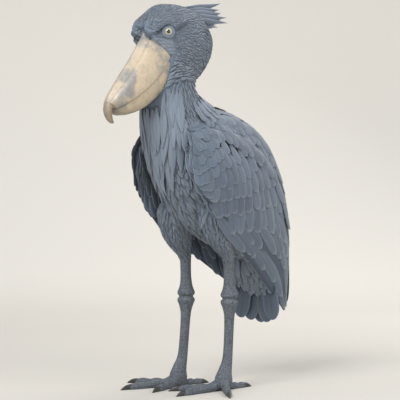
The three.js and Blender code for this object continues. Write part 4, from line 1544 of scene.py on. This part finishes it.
# Lining rows on the wing's inner face, in the same order
LINING_ROWS = [
    (10, (0.10, 0.60), (0.80, 0.40), (90, 150), 44, (0.0, 2.0), FALL),
    (12, (0.06, 0.80), (0.86, 0.64), (90, 160), 42, (0.0, 3.0), FALL),
    (14, (0.03, 0.94), (0.90, 0.88), (80, 170), 40, (0.0, 4.0), FALL),
    (12, (0.25, 1.0), (0.92, 1.0), (80, 110), 40, (0.0, 3.0), FALL),
    (10, (0.0, 0.99), (0.30, 1.0), (56, 80), 34, (1.0, 4.0), FALL),
    (8, (0.0, 0.34), (0.0, 0.99), (60, 70), 38, (0.0, 3.0), FALL),
    (8, (0.02, 0.20), (0.05, 0.90), (60, 70), 40, (0.0, 3.0), FALL),
]


def wing_feathers(rng):
    """The left wing's feathers, each walked back from its tip to its root."""
    table = [(row, 1) for row in WING_ROWS] + [(row, -1) for row in LINING_ROWS]
    feathers = Feathers("wing_left_feathers", WING_LINE, 9)
    feathers.allot(sum(row[0] for row, _ in table), 16)
    share = feathers.share
    for (count, first, last, lengths, width, lift, way), face in table:
        k = np.linspace(0, 1, count)
        s = np.clip(mix(first[0], last[0], k) + rng.normal(0, 0.006, count), 0.01, 0.99)
        t = np.clip(mix(first[1], last[1], k) + rng.normal(0, 0.012, count), 0.0, 1.0)
        length = mix(*lengths, k) * rng.uniform(0.93, 1.07, count)
        direction = None if way is None else -unit(way + rng.normal(0, 0.04, (count, 3)))
        walk = wing_walk(s, t, direction, length, WING_LINE)
        lines, normals, depths = (values[:, ::-1] for values in walk)
        rise = mix(*lift, np.sqrt(share)) + (np.arange(count) % 2)[:, None] * 1.1 * share
        if face < 0:
            rise, normals = rise + depths, -normals
            lines = lines + FALL * LINING_SAG * share[:, None]
        lines = lines + normals * rise[..., None]
        across, normals = rolled(*facing(lines, normals), rng.normal(0.05, 0.03, count))
        width = width * rng.uniform(0.94, 1.08, count)
        tone = rng.uniform(0.25, 0.75, count)
        feathers.add(lines, across, normals, width, rounded(share), 0.16, 1.6, tone)
    return feathers


def mirrored_piece(piece, *nodes):
    """The right wing's piece, made from the left one's."""
    mesh = piece.data.copy()
    points = points_of(piece)
    points[:, 0] = 2 * SHIFT[0] - points[:, 0]
    mesh.vertices.foreach_set("co", points.ravel())
    mesh.flip_normals()
    other = linked(piece.name.replace("left", "right"), mesh)
    dress(other, piece.data.materials[0], "flight", *nodes)


def make_wings(core):
    feathers = wing_feathers(np.random.default_rng(SEED))
    left = feathers.build(wing_material, "flight", "wing_left")
    mirrored_piece(left, "wing_right")
    mirrored_piece(core)


def wing_core():
    """An underlayer that closes the gaps between the feathers, in a darker slate: painted shade where it shows
    between them.
    """
    rows, columns = 40, 24
    s = np.linspace(0.0, 0.985, rows)[:, None]
    t = np.linspace(0, 1, columns)[None, :]
    s, t = np.broadcast_arrays(s, t)
    outer = wing_point(s, t)
    normal = wing_tangents(s, t)[2]
    top = outer - normal * 1.5
    under = outer - normal * wing_depth(s, t)[..., None]
    for layer in (top, under):
        layer[..., 0] = np.maximum(layer[..., 0], MIDLINE)
    rings = np.concatenate([top, under[:, ::-1]], 1)
    points, faces = capped_tube(rings, np.stack([rings[0].mean(0), rings[-1].mean(0)]))
    piece = mesh_object("wing_left_underlayer", placed(points), faces)
    return dress(piece, gap_shade_material, "flight")


# Tail: y, z and half spread of the roots and tips, how much the outer tips curl forward, width of a feather
TAIL = {"root": (238, 344, 38), "tip": (247, 172, 66), "curl": 12, "count": 5, "width": 64}


def make_tail():
    """A short square fan whose middle feathers lie on top."""
    rng = np.random.default_rng(SEED + 1)
    feathers = Feathers("tail_feathers", 26, 11)
    n = TAIL["count"]
    feathers.allot(n, 12)
    share = np.sin(feathers.share * math.pi / 2)
    k = np.linspace(-1, 1, n)
    (y, z, spread), (tip_y, tip_z, tip_spread) = TAIL["root"], TAIL["tip"]
    root = np.stack([k * spread, y - np.abs(k) * 6, np.full(n, z)], -1)
    low = tip_z + k ** 2 * 12 + rng.uniform(0, 4, n)
    tip = np.stack([k * tip_spread, tip_y - np.abs(k) * TAIL["curl"], low], -1)
    lines = root[:, None] + (tip - root)[:, None] * share[None, :, None]
    order = (n - 2 * np.abs(np.arange(n) - (n - 1) / 2))[:, None]
    lines[..., 1] += 4 * np.sin(share * math.pi)[None, :] + order * 2.2
    across, normals = facing(lines, np.array([0, 1.0, 0]))
    profile = np.broadcast_to(rounded(share, 0.5, 0.4, 0.26), (n, len(share)))
    feathers.add(lines, across, normals, np.full(n, TAIL["width"]), profile, 0.1, 1.6, rng.uniform(0.2, 0.6, n))
    feathers.build(wing_material, "flight", "tail")


bill_material = bill_finish()
leg_material = leg_finish()
claw_material = claw_finish()
skin_material = skin_finish()
eye_material = eye_finish()
wing_material = plumage_finish("wing_plumage", *WING_SLATE)
body_material = plumage_finish("body_plumage", *BODY_SLATE)
# The underlayer's darker slate is painted shade between the wing feathers.
gap_shade_material = plumage_finish("under_plumage", *GAP_SHADE_SLATE)

make_camera()
make_floor()
make_light()
trunk = trunk_loft()
horn_tree = tree_of(moved([bill_solid(True), bill_solid(False)], in_bill))
head_tree = tree_of(moved([head_loft(2.0).solid(48, 48)], in_head))
skin = make_skin()
skin_tree = BVHTree.FromPolygons(bird_mm(points_of(skin)).tolist(), faces_of(skin))
for side in SIDES:
    make_eye(side)
    make_lids(side)
    make_leg(side)
    make_claws(side)
make_bill()
core = wing_core()
core_points = bird_mm(points_of(core))
wing_trees = [BVHTree.FromPolygons((core_points * np.array([sign, 1, 1])).tolist(), faces_of(core))
              for sign in (1, -1)]
make_wings(core)
make_tail()
rng = np.random.default_rng(SEED + 2)
make_head_coat(skin_tree, rng)
make_body_coat(skin_tree, rng, wing_trees)
make_thigh_coat(skin_tree, rng)
make_ruff(skin_tree, rng)
make_mantle(skin_tree, rng)
make_undertail(rng)
make_crest(rng)
